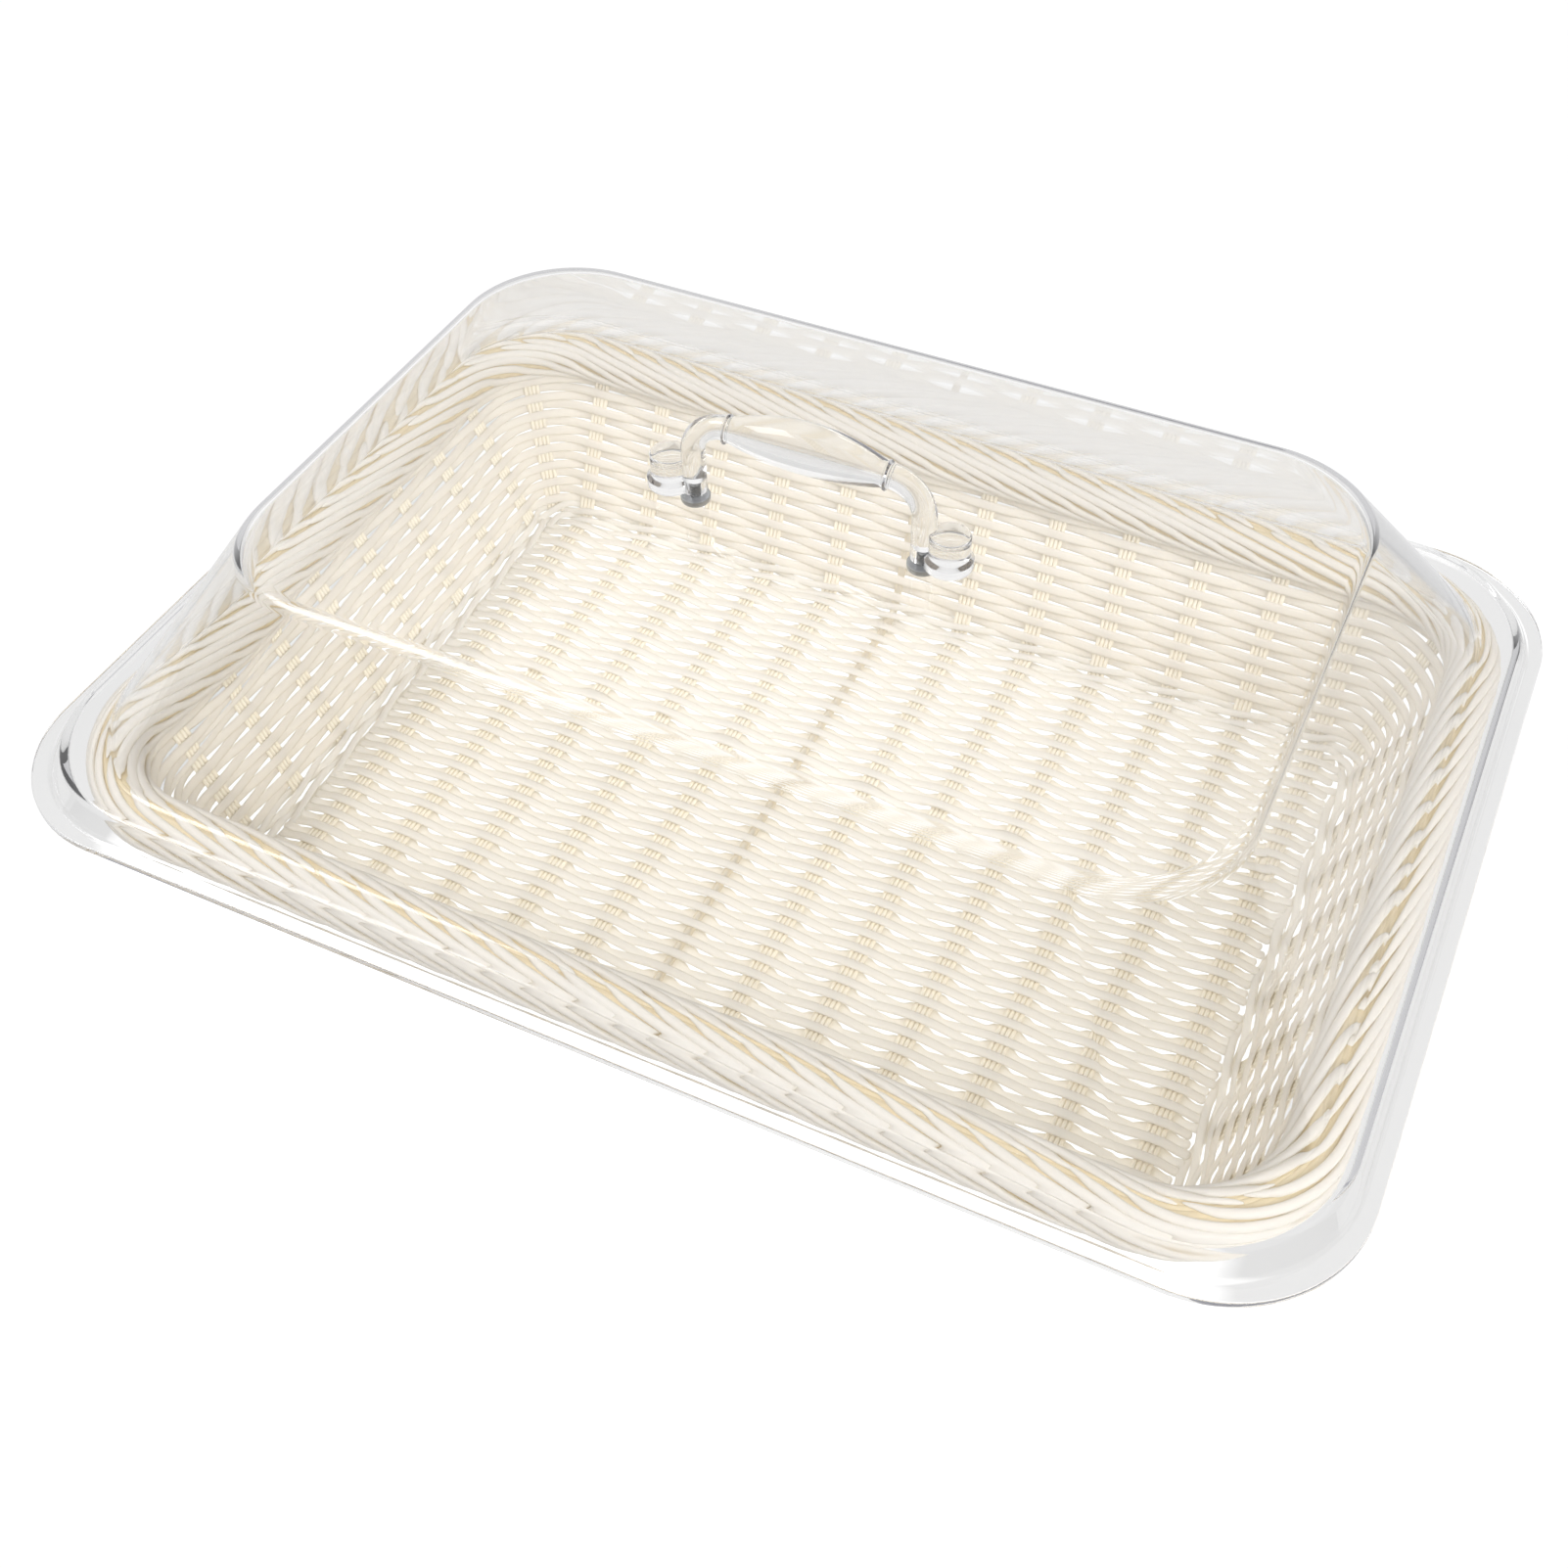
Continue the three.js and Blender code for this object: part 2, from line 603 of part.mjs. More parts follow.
function makeWalls() {
  const walls = new THREE.Group();
  const stations = stakeStations();
  const counts = { left: 0, right: 0, corner: 0 };
  for (const { side, point, facing } of stations) {
    if (side in counts) {
      const stake = piece(numbered(`${side}_stake`, counts[side]), wallStake(side), 'stake');
      counts[side] += 1;
      stake.position.set(point.x, point.y, 0);
      stake.rotation.z = facing;
      walls.add(stake);
    }
  }
  walls.add(piece('base_wale', baseWale(), 'weaver'));
  for (let level = 0; level < WALL_HOOPS; level += 1) {
    walls.add(piece(numbered('wall_hoop', level), wallHoop(level, stations), 'weaver'));
  }
  return walls;
}

function makeRim() {
  const rim = new THREE.Group();
  rim.add(piece('rim_plait_outer', outerRim(), 'weaver'));
  rim.add(piece('rim_plait_inner', innerRim(), 'weaver'));
  const wire = roundHoop(flareAt(RIM_WIRE_LEVEL), RIM_WIRE_LEVEL, RIM_WIRE_DIAMETER);
  rim.add(piece('rim_wire', wire, 'wire'));
  return rim;
}

function makeLid() {
  const lid = new THREE.Group();
  lid.add(piece('lid_shell', lidShell(), 'clear'));
  const fittings = new THREE.Group();
  fittings.position.z = PANEL_LEVEL;
  const handle = piece('lid_handle', lidHandle(), 'clear');
  handle.position.z = CLEARANCE;
  fittings.add(handle);
  for (const [name, side] of [['handle_screw_left', -1], ['handle_screw_right', 1]]) {
    const screw = piece(name, handleScrew(), 'screw');
    screw.position.x = (side * HANDLE_PITCH) / 2;
    fittings.add(screw);
  }
  lid.add(fittings);
  return lid;
}

const basket = new THREE.Group();
basket.add(makeFloor(), makeWalls(), makeRim(), makeLid());

export default basket;
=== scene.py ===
# %% [markdown]
# # A lidded bread basket
# A shallow woven basket of cream plastic strands under a clear moulded lid. The solids of the part are
# loaded first and stay where they are: they fix every place and size. Each step below then dresses some of
# them with the fine strands, smooth mouldings and finishes that the real basket has.

# %% Load the fixed frame
import math

import bpy
import numpy as np
from mathutils import Matrix, Vector


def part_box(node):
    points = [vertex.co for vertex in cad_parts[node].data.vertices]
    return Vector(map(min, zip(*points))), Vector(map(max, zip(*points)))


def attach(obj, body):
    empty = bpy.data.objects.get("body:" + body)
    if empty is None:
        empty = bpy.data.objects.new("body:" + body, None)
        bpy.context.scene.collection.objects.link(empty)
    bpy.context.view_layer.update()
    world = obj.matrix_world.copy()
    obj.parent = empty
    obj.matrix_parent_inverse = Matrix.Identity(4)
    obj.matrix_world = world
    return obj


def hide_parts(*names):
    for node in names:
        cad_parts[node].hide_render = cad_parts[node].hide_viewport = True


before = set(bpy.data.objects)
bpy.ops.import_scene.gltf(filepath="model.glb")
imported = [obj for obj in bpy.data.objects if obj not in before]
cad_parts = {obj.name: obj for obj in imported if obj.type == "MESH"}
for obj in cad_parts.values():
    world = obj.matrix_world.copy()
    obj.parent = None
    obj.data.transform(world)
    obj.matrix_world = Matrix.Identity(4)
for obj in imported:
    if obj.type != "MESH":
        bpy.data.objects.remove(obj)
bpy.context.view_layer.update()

# %% [markdown]
# ## Arithmetic with sockets
# A shader is a graph of nodes, and writing it as links hides the sum behind it. This small class wraps one
# output socket, so that `1 - mask * 0.3` adds the two Math nodes by itself. Every other node goes through
# one method that takes the node's type, its settings and its sockets.


# %% A socket that takes part in sums
class Socket:
    """An output socket of a node tree; sums with it add Math nodes."""

    def __init__(self, tree, output=None):
        self.tree = tree
        self.output = output

    def node(self, kind, settings=(), inputs=(), output=0):
        """Any node: its type, its settings, its sockets' values or links, and the output to go on with."""
        made = self.tree.nodes.new(kind)
        for name, value in dict(settings).items():
            setattr(made, name, value)
        for name, value in dict(inputs).items():
            if isinstance(value, Socket):
                self.tree.links.new(value.output, made.inputs[name])
            else:
                made.inputs[name].default_value = value
        return Socket(self.tree, made.outputs[output] if made.outputs else None)

    def math(self, operation, first, second):
        return self.node("ShaderNodeMath", {"operation": operation}, {0: first, 1: second})

    def __add__(self, other):
        return self.math("ADD", self, other)

    __radd__ = __add__

    def __sub__(self, other):
        return self.math("SUBTRACT", self, other)

    def __rsub__(self, other):
        return self.math("SUBTRACT", other, self)

    def __mul__(self, other):
        return self.math("MULTIPLY", self, other)

    __rmul__ = __mul__

    def larger(self, other):
        return self.math("MAXIMUM", self, other)

    def clamped(self):
        return self.math("MINIMUM", self.larger(0.0), 1.0)

    def scaled(self, *factors):
        """A vector stretched along its axes."""
        return self.node("ShaderNodeVectorMath", {"operation": "MULTIPLY"}, {0: self, 1: factors})

    def between(self, first, second):
        """A colour mixed from two others, with this number as the share of the second."""
        return self.node("ShaderNodeMix", {"data_type": "RGBA"}, {0: self, 6: first, 7: second}, output=2)


def new_finish(name):
    """An empty material and the start of its node tree."""
    material = bpy.data.materials.new(name)
    material.use_nodes = True
    material.node_tree.nodes.clear()
    return material, Socket(material.node_tree)


print("socket sums ready")

# %% [markdown]
# ## Camera
# The photograph looks down on the basket from the front right. The view could be turned by eye until it
# looks right, but a pinhole camera fitted to the lid's edges and the handle's screws comes within a pixel.
# The values below are that fit: where it looks, from which side and height, how far away, and how much it
# leans.

# %% Place the camera
AIM = np.array([0.0116, -0.0416, 0.0661])
AZIMUTH = math.radians(26.32)
ELEVATION = math.radians(47.54)
LEAN = math.radians(-0.87)
DISTANCE = 0.5832
SENSOR = 36.0
LENS = 42.44
NEAREST = 0.01

back = np.array([
    math.sin(AZIMUTH) * math.cos(ELEVATION),
    -math.cos(AZIMUTH) * math.cos(ELEVATION),
    math.sin(ELEVATION),
])
right = np.array([math.cos(AZIMUTH), math.sin(AZIMUTH), 0.0])
above = np.cross(back, right)
pose = np.eye(4)
pose[:3, 0] = right * math.cos(LEAN) + above * math.sin(LEAN)
pose[:3, 1] = above * math.cos(LEAN) - right * math.sin(LEAN)
pose[:3, 2] = back
pose[:3, 3] = AIM + DISTANCE * back

camera = bpy.data.objects.new("camera", bpy.data.cameras.new("camera"))
bpy.context.scene.collection.objects.link(camera)
camera.matrix_world = Matrix(pose.tolist())
camera.data.sensor_width = SENSOR
camera.data.lens = LENS
camera.data.clip_start = NEAREST
bpy.context.scene.camera = camera
print("camera at", np.round(pose[:3, 3], 3))

# %% [markdown]
# ## Studio floor
# The photograph is a studio shot on white. A floor that is lit until it turns white would burn out the
# basket too. So the floor is a pale sheet that keeps a little of its shadow and gives most of its white by
# itself: full white to the camera, and through the clear lid and in mirrors a light grey, which is painted
# shade. Under the basket a patch of it has a painted glow, which is seen but lights nothing, so that the small
# openings of the weave show white instead of the basket's shadow. The glow reaches a little past the left
# and back walls, because their openings look there.

# %% Lay the studio floor
SHEET_HALF = 40.0
PAPER = (0.7, 0.7, 0.7, 1)
SHADOW_SHARE = 0.14
WHITE_LEVEL = 1.08
# Painted shade: the floor's level through the clear lid and in mirrors, darker than to the camera.
LID_PAINTED_SHADE_LEVEL = 0.84
# Painted glow: a patch under the basket that is seen directly and through the lid but lights nothing.
UNDER_PAINTED_GLOW = 0.6
GLOW_LOW = (-0.225, -0.140)
GLOW_HIGH = (0.190, 0.198)
GLOW_FADE = 0.0125

bpy.context.scene.view_settings.view_transform = "Standard"


def seen_directly(start):
    """One where a ray comes from the camera, from a glossy surface or through the clear lid."""
    rays = [start.node("ShaderNodeLightPath", output=name)
            for name in ("Is Camera Ray", "Is Glossy Ray", "Is Transmission Ray")]
    return rays[0].larger(rays[1]).larger(rays[2])


def make_floor():
    material, start = new_finish("studio_floor")
    paper = start.node("ShaderNodeBsdfDiffuse", inputs={"Color": PAPER})
    place = start.node("ShaderNodeNewGeometry", output="Position")
    steep = 1 / GLOW_FADE
    painted_glow = UNDER_PAINTED_GLOW
    for axis, low, high in zip("XY", GLOW_LOW, GLOW_HIGH):
        reach = start.node("ShaderNodeSeparateXYZ", inputs={0: place}, output=axis)
        painted_glow = ((high - reach) * steep).clamped() * ((reach - low) * steep).clamped() * painted_glow
    straight = start.node("ShaderNodeLightPath", output="Is Camera Ray")
    level = straight * (WHITE_LEVEL - LID_PAINTED_SHADE_LEVEL) + LID_PAINTED_SHADE_LEVEL
    # The painted glow is added to the floor's white, which only seen rays get.
    white = start.node("ShaderNodeEmission", inputs={"Color": painted_glow + level, "Strength": 1.0})
    share = seen_directly(start) * (1 - SHADOW_SHARE)
    mixed = start.node("ShaderNodeMixShader", inputs={0: share, 1: paper, 2: white})
    start.node("ShaderNodeOutputMaterial", inputs={"Surface": mixed})
    corners = [(x * SHEET_HALF, y * SHEET_HALF, 0) for x, y in ((-1, -1), (1, -1), (1, 1), (-1, 1))]
    mesh = bpy.data.meshes.new("studio_floor")
    mesh.from_pydata(corners, [], [(0, 1, 2, 3)])
    mesh.materials.append(material)
    floor = bpy.data.objects.new("studio_floor", mesh)
    bpy.context.scene.collection.objects.link(floor)


make_floor()
print("floor level", WHITE_LEVEL, "and through the lid", LID_PAINTED_SHADE_LEVEL)

# %% [markdown]
# ## Studio sky
# To the basket the sky is an even fill. In the lid's mirror an even sky would leave the clear plastic
# without a shape, so there it is a studio room: bright overhead and behind, dim in front and at the sides.
# That draws the grey lines along the lid's bends. A picture of a room could do the same, but two slopes are
# enough.

# %% Hang the studio sky
SKY_FILL = 0.5
ROOM_DIM = 0.16
ROOF_STEEP = 4
ROOF_EDGE = 1.8
WALL_STEEP = 2.2
WALL_EDGE = 0.8


def make_sky():
    world = bpy.data.worlds.new("studio_sky")
    world.use_nodes = True
    world.node_tree.nodes.clear()
    start = Socket(world.node_tree)
    way = start.node("ShaderNodeTexCoord", output="Generated")
    across, behind, height = (
        start.node("ShaderNodeSeparateXYZ", inputs={0: way}, output=axis) for axis in "XYZ")
    roof = height * ROOF_STEEP - ROOF_EDGE
    back_wall = behind * WALL_STEEP - across - WALL_EDGE
    room = roof.larger(back_wall).clamped() * (1 - ROOM_DIM) + ROOM_DIM
    straight = start.node("ShaderNodeLightPath", output="Is Camera Ray")
    level = seen_directly(start) * (room - SKY_FILL) + SKY_FILL
    level = straight * (WHITE_LEVEL - level) + level
    sky = start.node("ShaderNodeBackground", inputs={"Color": level, "Strength": 1.0})
    start.node("ShaderNodeOutputWorld", inputs={"Surface": sky})
    bpy.context.scene.world = world


make_sky()
print("sky fill", SKY_FILL, "and in the mirror from", ROOM_DIM, "to 1")

# %% [markdown]
# ## Lamps
# The key light at the left is two lamps, one just before the other: only the front one shows in the mirror,
# where it draws the long highlight on the lid's front crease. With one lamp for both, the highlight and the
# light on the weave couldn't be set apart. A wide lamp at the right and one behind the camera keep the shade
# between the strands pale, and a weak one on the floor lights the weave from below.

# %% Set the lamps
LID_AIM = (0, 0, 0.1)
BASKET_AIM = (0, 0, 0.08)
KEY_SIZE = (0.6, 0.6)
TABLE_SIZE = (0.320, 0.206)


def soft_lamp(name, place, aim, size, watts, mirrored=False):
    data = bpy.data.lights.new(name, "AREA")
    data.shape = "RECTANGLE"
    data.size, data.size_y = size
    data.energy = watts
    lamp = bpy.data.objects.new(name, data)
    bpy.context.scene.collection.objects.link(lamp)
    lamp.location = place
    lamp.rotation_euler = (Vector(place) - Vector(aim)).to_track_quat("Z", "Y").to_euler()
    lamp.visible_camera = False
    lamp.visible_glossy = lamp.visible_transmission = mirrored


soft_lamp("key_lamp", (-0.9, -0.25, 1.3), LID_AIM, KEY_SIZE, 2.5)
soft_lamp("mirror_lamp", (-0.891, -0.2475, 1.288), LID_AIM, KEY_SIZE, 6.0, mirrored=True)
soft_lamp("right_lamp", (1.3, -0.5, 0.75), BASKET_AIM, (1.2, 0.8), 14.0)
soft_lamp("front_lamp", (0.5, -1.0, 1.35), BASKET_AIM, (0.8, 0.8), 8.5)
soft_lamp("table_lamp", (0, 0, 0.0004), (0, 0, 1), TABLE_SIZE, 0.12)
print("lamps:", [light.name for light in bpy.data.lights])

# %% [markdown]
# ## Strand finishes
# The strands are drawn plastic: satin, with fine lines along their length, and thin enough to let some light
# through, which keeps the shade between them pale. Noise in space would run across the strands, so it is
# stretched along the strand map instead, which runs along each strand in metres and once round it, and each
# strand gets its own tone. The wall rows are cream. The floor, the wale and the plait get a paler copy of the
# cream, which is painted light on them. The stakes are straw yellow, and their ends tucked into the rim get a
# darker copy of the straw, which is painted shade for the shade inside the plait.

# %% Mix the strand finishes
LINE_SCALE = (45, 14, 1)
CLOUD_SCALE = (30, 1, 1)
LINE_SPREAD = 40
CLOUD_SPREAD = 90
LINE_SHARE = 0.5
CLOUD_SHARE = 0.3
STRAND_SHARE = 0.3
SATIN = 0.38
SATIN_RANGE = 0.2
LINE_STRENGTH = 0.3
LINE_DEPTH = 0.0002
PLASTIC_IOR = 1.49
THROUGH_TINT = (1.0, 0.96, 0.87, 1)


def strand_finish(name, light, deep, light_through):
    material, start = new_finish(name)
    along = start.node("ShaderNodeUVMap", {"uv_map": "strand"})
    strand = start.node("ShaderNodeNewGeometry", output="Random Per Island")
    lines = start.node("ShaderNodeTexNoise", {"noise_dimensions": "4D"}, {
        "Vector": along.scaled(*LINE_SCALE), "W": strand * LINE_SPREAD, "Scale": 1.0, "Detail": 3.0})
    cloud = start.node("ShaderNodeTexNoise", {"noise_dimensions": "4D"}, {
        "Vector": along.scaled(*CLOUD_SCALE), "W": strand * CLOUD_SPREAD, "Scale": 1.0, "Detail": 2.0})
    tone = lines * LINE_SHARE + cloud * CLOUD_SHARE + strand * STRAND_SHARE
    bump = start.node("ShaderNodeBump", inputs={
        "Strength": LINE_STRENGTH, "Distance": LINE_DEPTH, "Height": lines})
    surface = start.node("ShaderNodeBsdfPrincipled", inputs={
        "Base Color": tone.between(deep, light),
        "Roughness": SATIN + lines * SATIN_RANGE,
        "Normal": bump,
        "IOR": PLASTIC_IOR,
    })
    inner = [(a + b) / 2 * tint for a, b, tint in zip(light, deep, THROUGH_TINT)]
    through = start.node("ShaderNodeBsdfTranslucent", inputs={"Color": inner})
    shader = start.node("ShaderNodeMixShader", inputs={0: light_through, 1: surface, 2: through})
    start.node("ShaderNodeOutputMaterial", inputs={"Surface": shader})
    return material


CREAM = strand_finish("cream_strand_finish", (0.975, 0.955, 0.915, 1), (0.965, 0.93, 0.87, 1), 0.35)
# A paler copy of the cream: painted light on the floor, the wale and the plait.
CREAM_PAINTED_LIGHT = strand_finish("cream_strand_pale_finish", (0.975, 0.963, 0.935, 1), (0.965, 0.942, 0.90, 1), 0.35)
STRAW = strand_finish("straw_strand_finish", (1.0, 0.95, 0.83, 1), (1.0, 0.91, 0.74, 1), 0.05)
# A darker copy of the straw: painted shade on the ends tucked inside the plait.
STRAW_PAINTED_SHADE = strand_finish("straw_strand_tucked_finish", (0.90, 0.79, 0.56, 1), (0.84, 0.70, 0.45, 1), 0.2)
print("finishes:", CREAM.name, CREAM_PAINTED_LIGHT.name, STRAW.name, STRAW_PAINTED_SHADE.name)

# %% [markdown]
# ## Steel and clear plastic
# The wires are dull and warm, and the screws are plated steel. Both get fine marks from noise that is
# stretched along one axis. The lid is clear plastic that takes away a little light, so that its edges look
# greyer than its walls. A glass shader alone would leave a hard dark shadow and black bends. So light on its
# way to or from the basket passes straight through, and light that has been mirrored inside the sheet a few
# times is let out through a grey colour, which is painted shade that draws the grey lines along the bends.

# %% Mix the steel and the clear plastic
STEEL_SCALE = (900, 900, 120)
STEEL_DEEP = 0.75
STEEL_RANGE = 0.2
HAZE_SCALE = 60.0
HAZE_ROUGHNESS = 0.02
CLEAR_COLOUR = (0.995, 0.995, 0.995, 1)
SHADOW_COLOUR = (0.97, 0.97, 0.97, 1)
# Painted shade: the grey that light let out of the sheet takes, drawing grey lines along the bends.
ESCAPE_PAINTED_SHADE = (0.80, 0.80, 0.82, 1)
SHEET_COLOUR = (0.5, 0.5, 0.5, 1)
SHEET_DENSITY = 10.0
MOST_MIRRORS = 2.5


def steel_finish(name, colour, roughness, metallic):
    material, start = new_finish(name)
    place = start.node("ShaderNodeTexCoord", output="Object")
    drawn = start.node("ShaderNodeTexNoise", inputs={
        "Vector": place.scaled(*STEEL_SCALE), "Scale": 1.0, "Detail": 3.0})
    deep = [STEEL_DEEP * part for part in colour[:3]] + [1]
    shader = start.node("ShaderNodeBsdfPrincipled", inputs={
        "Base Color": drawn.between(colour, deep),
        "Metallic": metallic,
        "Roughness": drawn * STEEL_RANGE + roughness,
    })
    start.node("ShaderNodeOutputMaterial", inputs={"Surface": shader})
    return material


def clear_finish(name):
    material, start = new_finish(name)
    place = start.node("ShaderNodeTexCoord", output="Object")
    haze = start.node("ShaderNodeTexNoise", inputs={"Vector": place, "Scale": HAZE_SCALE, "Detail": 2.0})
    plastic = start.node("ShaderNodeBsdfPrincipled", inputs={
        "Base Color": CLEAR_COLOUR,
        "Roughness": haze * HAZE_ROUGHNESS,
        "IOR": PLASTIC_IOR,
        "Transmission Weight": 1.0,
    })
    through = start.node("ShaderNodeBsdfTransparent", inputs={"Color": SHADOW_COLOUR})
    shadow = start.node("ShaderNodeLightPath", output="Is Shadow Ray")
    bounce = start.node("ShaderNodeLightPath", output="Is Diffuse Ray")
    mirrors = start.node("ShaderNodeLightPath", output="Glossy Depth")
    trapped = mirrors.math("GREATER_THAN", mirrors, MOST_MIRRORS)
    # Light let out after a few mirrors turns grey here: painted shade along the bends.
    escape_painted_shade = start.node("ShaderNodeBsdfTransparent", inputs={"Color": ESCAPE_PAINTED_SHADE})
    guided = start.node("ShaderNodeMixShader", inputs={0: trapped, 1: plastic, 2: escape_painted_shade})
    mixed = start.node("ShaderNodeMixShader", inputs={0: shadow.larger(bounce), 1: guided, 2: through})
    depth = start.node("ShaderNodeVolumeAbsorption", inputs={"Color": SHEET_COLOUR, "Density": SHEET_DENSITY})
    start.node("ShaderNodeOutputMaterial", inputs={"Surface": mixed, "Volume": depth})
    return material


WIRE = steel_finish("frame_wire_finish", (0.95, 0.87, 0.72, 1), 0.4, 0.6)
SCREW = steel_finish("screw_steel_finish", (0.42, 0.43, 0.44, 1), 0.25, 1.0)
CLEAR = clear_finish("clear_plastic_finish")
print("finishes:", WIRE.name, SCREW.name, CLEAR.name)

# %% [markdown]
# ## Strands
# Everything in the basket is a strand that follows a line: an oval section swept along it. A curve object
# with a bevel could do that, but the section's wide side has to stay flat on the weave, and a map along the
# strand is wanted for the finish. So the rings of points are worked out here and joined into one mesh for
# each piece.

# %% Sweep ovals along lines
SECTION_SIDES = 10
TIP_STEPS = np.array([0.0, 0.08, 0.25, 0.55, 1.0])
TIP_LEAST = 0.2


def dress(name, mesh, finish, body, *nodes):
    """Puts a mesh on one of the bodies in place of some of its solids."""
    mesh.materials.clear()
    mesh.materials.append(finish)
    made = bpy.data.objects.new(name, mesh)
    bpy.context.scene.collection.objects.link(made)
    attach(made, body)
    if nodes:
        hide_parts(*nodes)
    "_".join(finish.name.split("_")[:2])


class Strands:
    """Collects swept strands and makes them one mesh."""

    def __init__(self):
        self.points = []
        self.faces = []
        self.maps = []
        self.count = 0

    def add(self, line, wide, half_width, half_thick, closed=False, tip=0.001):
        """A strand along a line of points; wide is the direction of its wide side at each point.
        Its ends are rounded over the length of the tip."""
        line = np.asarray(line, float)
        wide = np.broadcast_to(wide, line.shape)
        half_width = np.broadcast_to(half_width, len(line))
        run = np.append(0, np.cumsum(np.linalg.norm(np.diff(line, axis=0), axis=1)))
        swell = np.ones(len(run))
        if closed:
            ahead = np.roll(line, -1, 0) - np.roll(line, 1, 0)
        else:
            places = np.unique(np.concatenate([
                run[(run > tip) & (run < run[-1] - tip)], TIP_STEPS * tip, run[-1] - TIP_STEPS * tip]))
            line, wide = (np.column_stack([np.interp(places, run, part) for part in parts.T])
                          for parts in (line, wide))
            half_width = np.interp(places, run, half_width)
            run = places
            ahead = np.gradient(line, run, axis=0)
            inside = np.clip(np.minimum(run, run[-1] - run) / tip, 0, 1)
            swell = np.maximum(np.sqrt(1 - (1 - inside) ** 2), TIP_LEAST)
        ahead /= np.linalg.norm(ahead, axis=1)[:, None]
        wide = wide - (wide * ahead).sum(1)[:, None] * ahead
        wide /= np.linalg.norm(wide, axis=1)[:, None]
        thick = np.cross(ahead, wide)
        angle = 2 * np.pi * np.arange(SECTION_SIDES) / SECTION_SIDES - np.pi / 2
        across = (swell * half_width)[:, None, None] * np.cos(angle)[:, None] * wide[:, None]
        through = swell[:, None, None] * half_thick * np.sin(angle)[:, None] * thick[:, None]
        self.points.append((line[:, None] + across + through).reshape(-1, 3))
        self.join(len(line), run, closed)

    def join(self, count, run, closed):
        """The faces between the rings of one strand, with the map along and round it."""
        rows = np.arange(count if closed else count - 1)
        here = self.count + rows * SECTION_SIDES
        there = self.count + (rows + 1) % count * SECTION_SIDES
        side = np.arange(SECTION_SIDES)
        after = (side + 1) % SECTION_SIDES
        quads = np.stack([here[:, None] + side, here[:, None] + after,
                          there[:, None] + after, there[:, None] + side], -1)
        self.faces += quads.reshape(-1, 4).tolist()
        ends = np.append(run, 2 * run[-1] - run[-2])
        corners = ((0, 0), (0, 1), (1, 1), (1, 0))
        maps = np.stack([
            np.stack(np.broadcast_arrays(ends[rows + step][:, None], (side + turn) / SECTION_SIDES), -1)
            for step, turn in corners
        ], 2)
        self.maps.append(maps.reshape(-1, 2))
        if not closed:
            last = self.count + (count - 1) * SECTION_SIDES
            self.faces += [(self.count + side[::-1]).tolist(), (last + side).tolist()]
            self.maps.append(np.zeros((2 * SECTION_SIDES, 2)))
        self.count += count * SECTION_SIDES

    def piece(self, name, finish, *nodes):
        """One piece of the basket from all the strands, in place of some of its solids."""
        mesh = bpy.data.meshes.new(name)
        mesh.from_pydata(np.concatenate(self.points).tolist(), [], self.faces)
        strand_map = mesh.uv_layers.new(name="strand")
        strand_map.data.foreach_set("uv", np.concatenate(self.maps).ravel())
        mesh.shade_smooth()
        dress(name, mesh, finish, "basket", *nodes)


print("sections have", SECTION_SIDES, "sides")

# %% [markdown]
# ## Floor
# Cream weavers run along the floor, over one stake and under the next, and each row does the opposite of its
# neighbour. A cosine along the row gives just that. A stake presses the row below it flat and to the back,
# which closes the weave beside the stake, and farther on the low row leaves a white drop, where the floor's
# painted glow shows through. A bump map could draw the rows, but not the drops, which are the first thing that
# the eye sees. So the rows are real geometry.

# %% Weave the floor
STRANDS_PER_BAND = 4
WEAVER_THICK = 0.0014
STEPS_PER_STAKE = 14
PRESSED_WIDER = 0.0015
PRESSED_BACK = 0.0009
PRESSED_FROM = 0.0032
PRESSED_TO = 0.0075
FLOOR_LENGTH = 0.337
FLOOR_WIDTH = 0.2186
FLOOR_CORNER = 0.012
FLOOR_END = 0.1655
END_ROUND = 0.008
END_LEVEL = 0.008
END_UNEVEN = 0.0006
PRESSED_UNEVEN = 0.15
LIFT_UNEVEN = 0.01
ROW_UNEVEN = 0.00008
RUN_X = FLOOR_LENGTH / 2 - FLOOR_CORNER
RUN_Y = FLOOR_WIDTH / 2 - FLOOR_CORNER
draw = np.random.default_rng(7)


def centre_of(node):
    low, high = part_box(node)
    return (np.array(low) + np.array(high)) / 2


def nodes_named(start):
    return sorted(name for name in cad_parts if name.startswith(start))


def smooth(share):
    """A soft step from 0 to 1."""
    share = np.clip(share, 0, 1)
    return share * share * (3 - 2 * share)


def side_by_side(number, pitch):
    return (np.arange(number) - (number - 1) / 2) * pitch


stake_nodes = nodes_named("cross_stake")
columns = np.sort([centre_of(name)[0] for name in stake_nodes + ["wire_rib"]])
stake_pitch = columns[1] - columns[0]
floor_bands = nodes_named("floor_weaver")
FLOOR_LEVEL = centre_of(floor_bands[0])[2]
WEAVE_LIFT = FLOOR_LEVEL - WEAVER_THICK / 2
band_pitch = centre_of(floor_bands[1])[1] - centre_of(floor_bands[0])[1]
row_pitch = band_pitch / STRANDS_PER_BAND


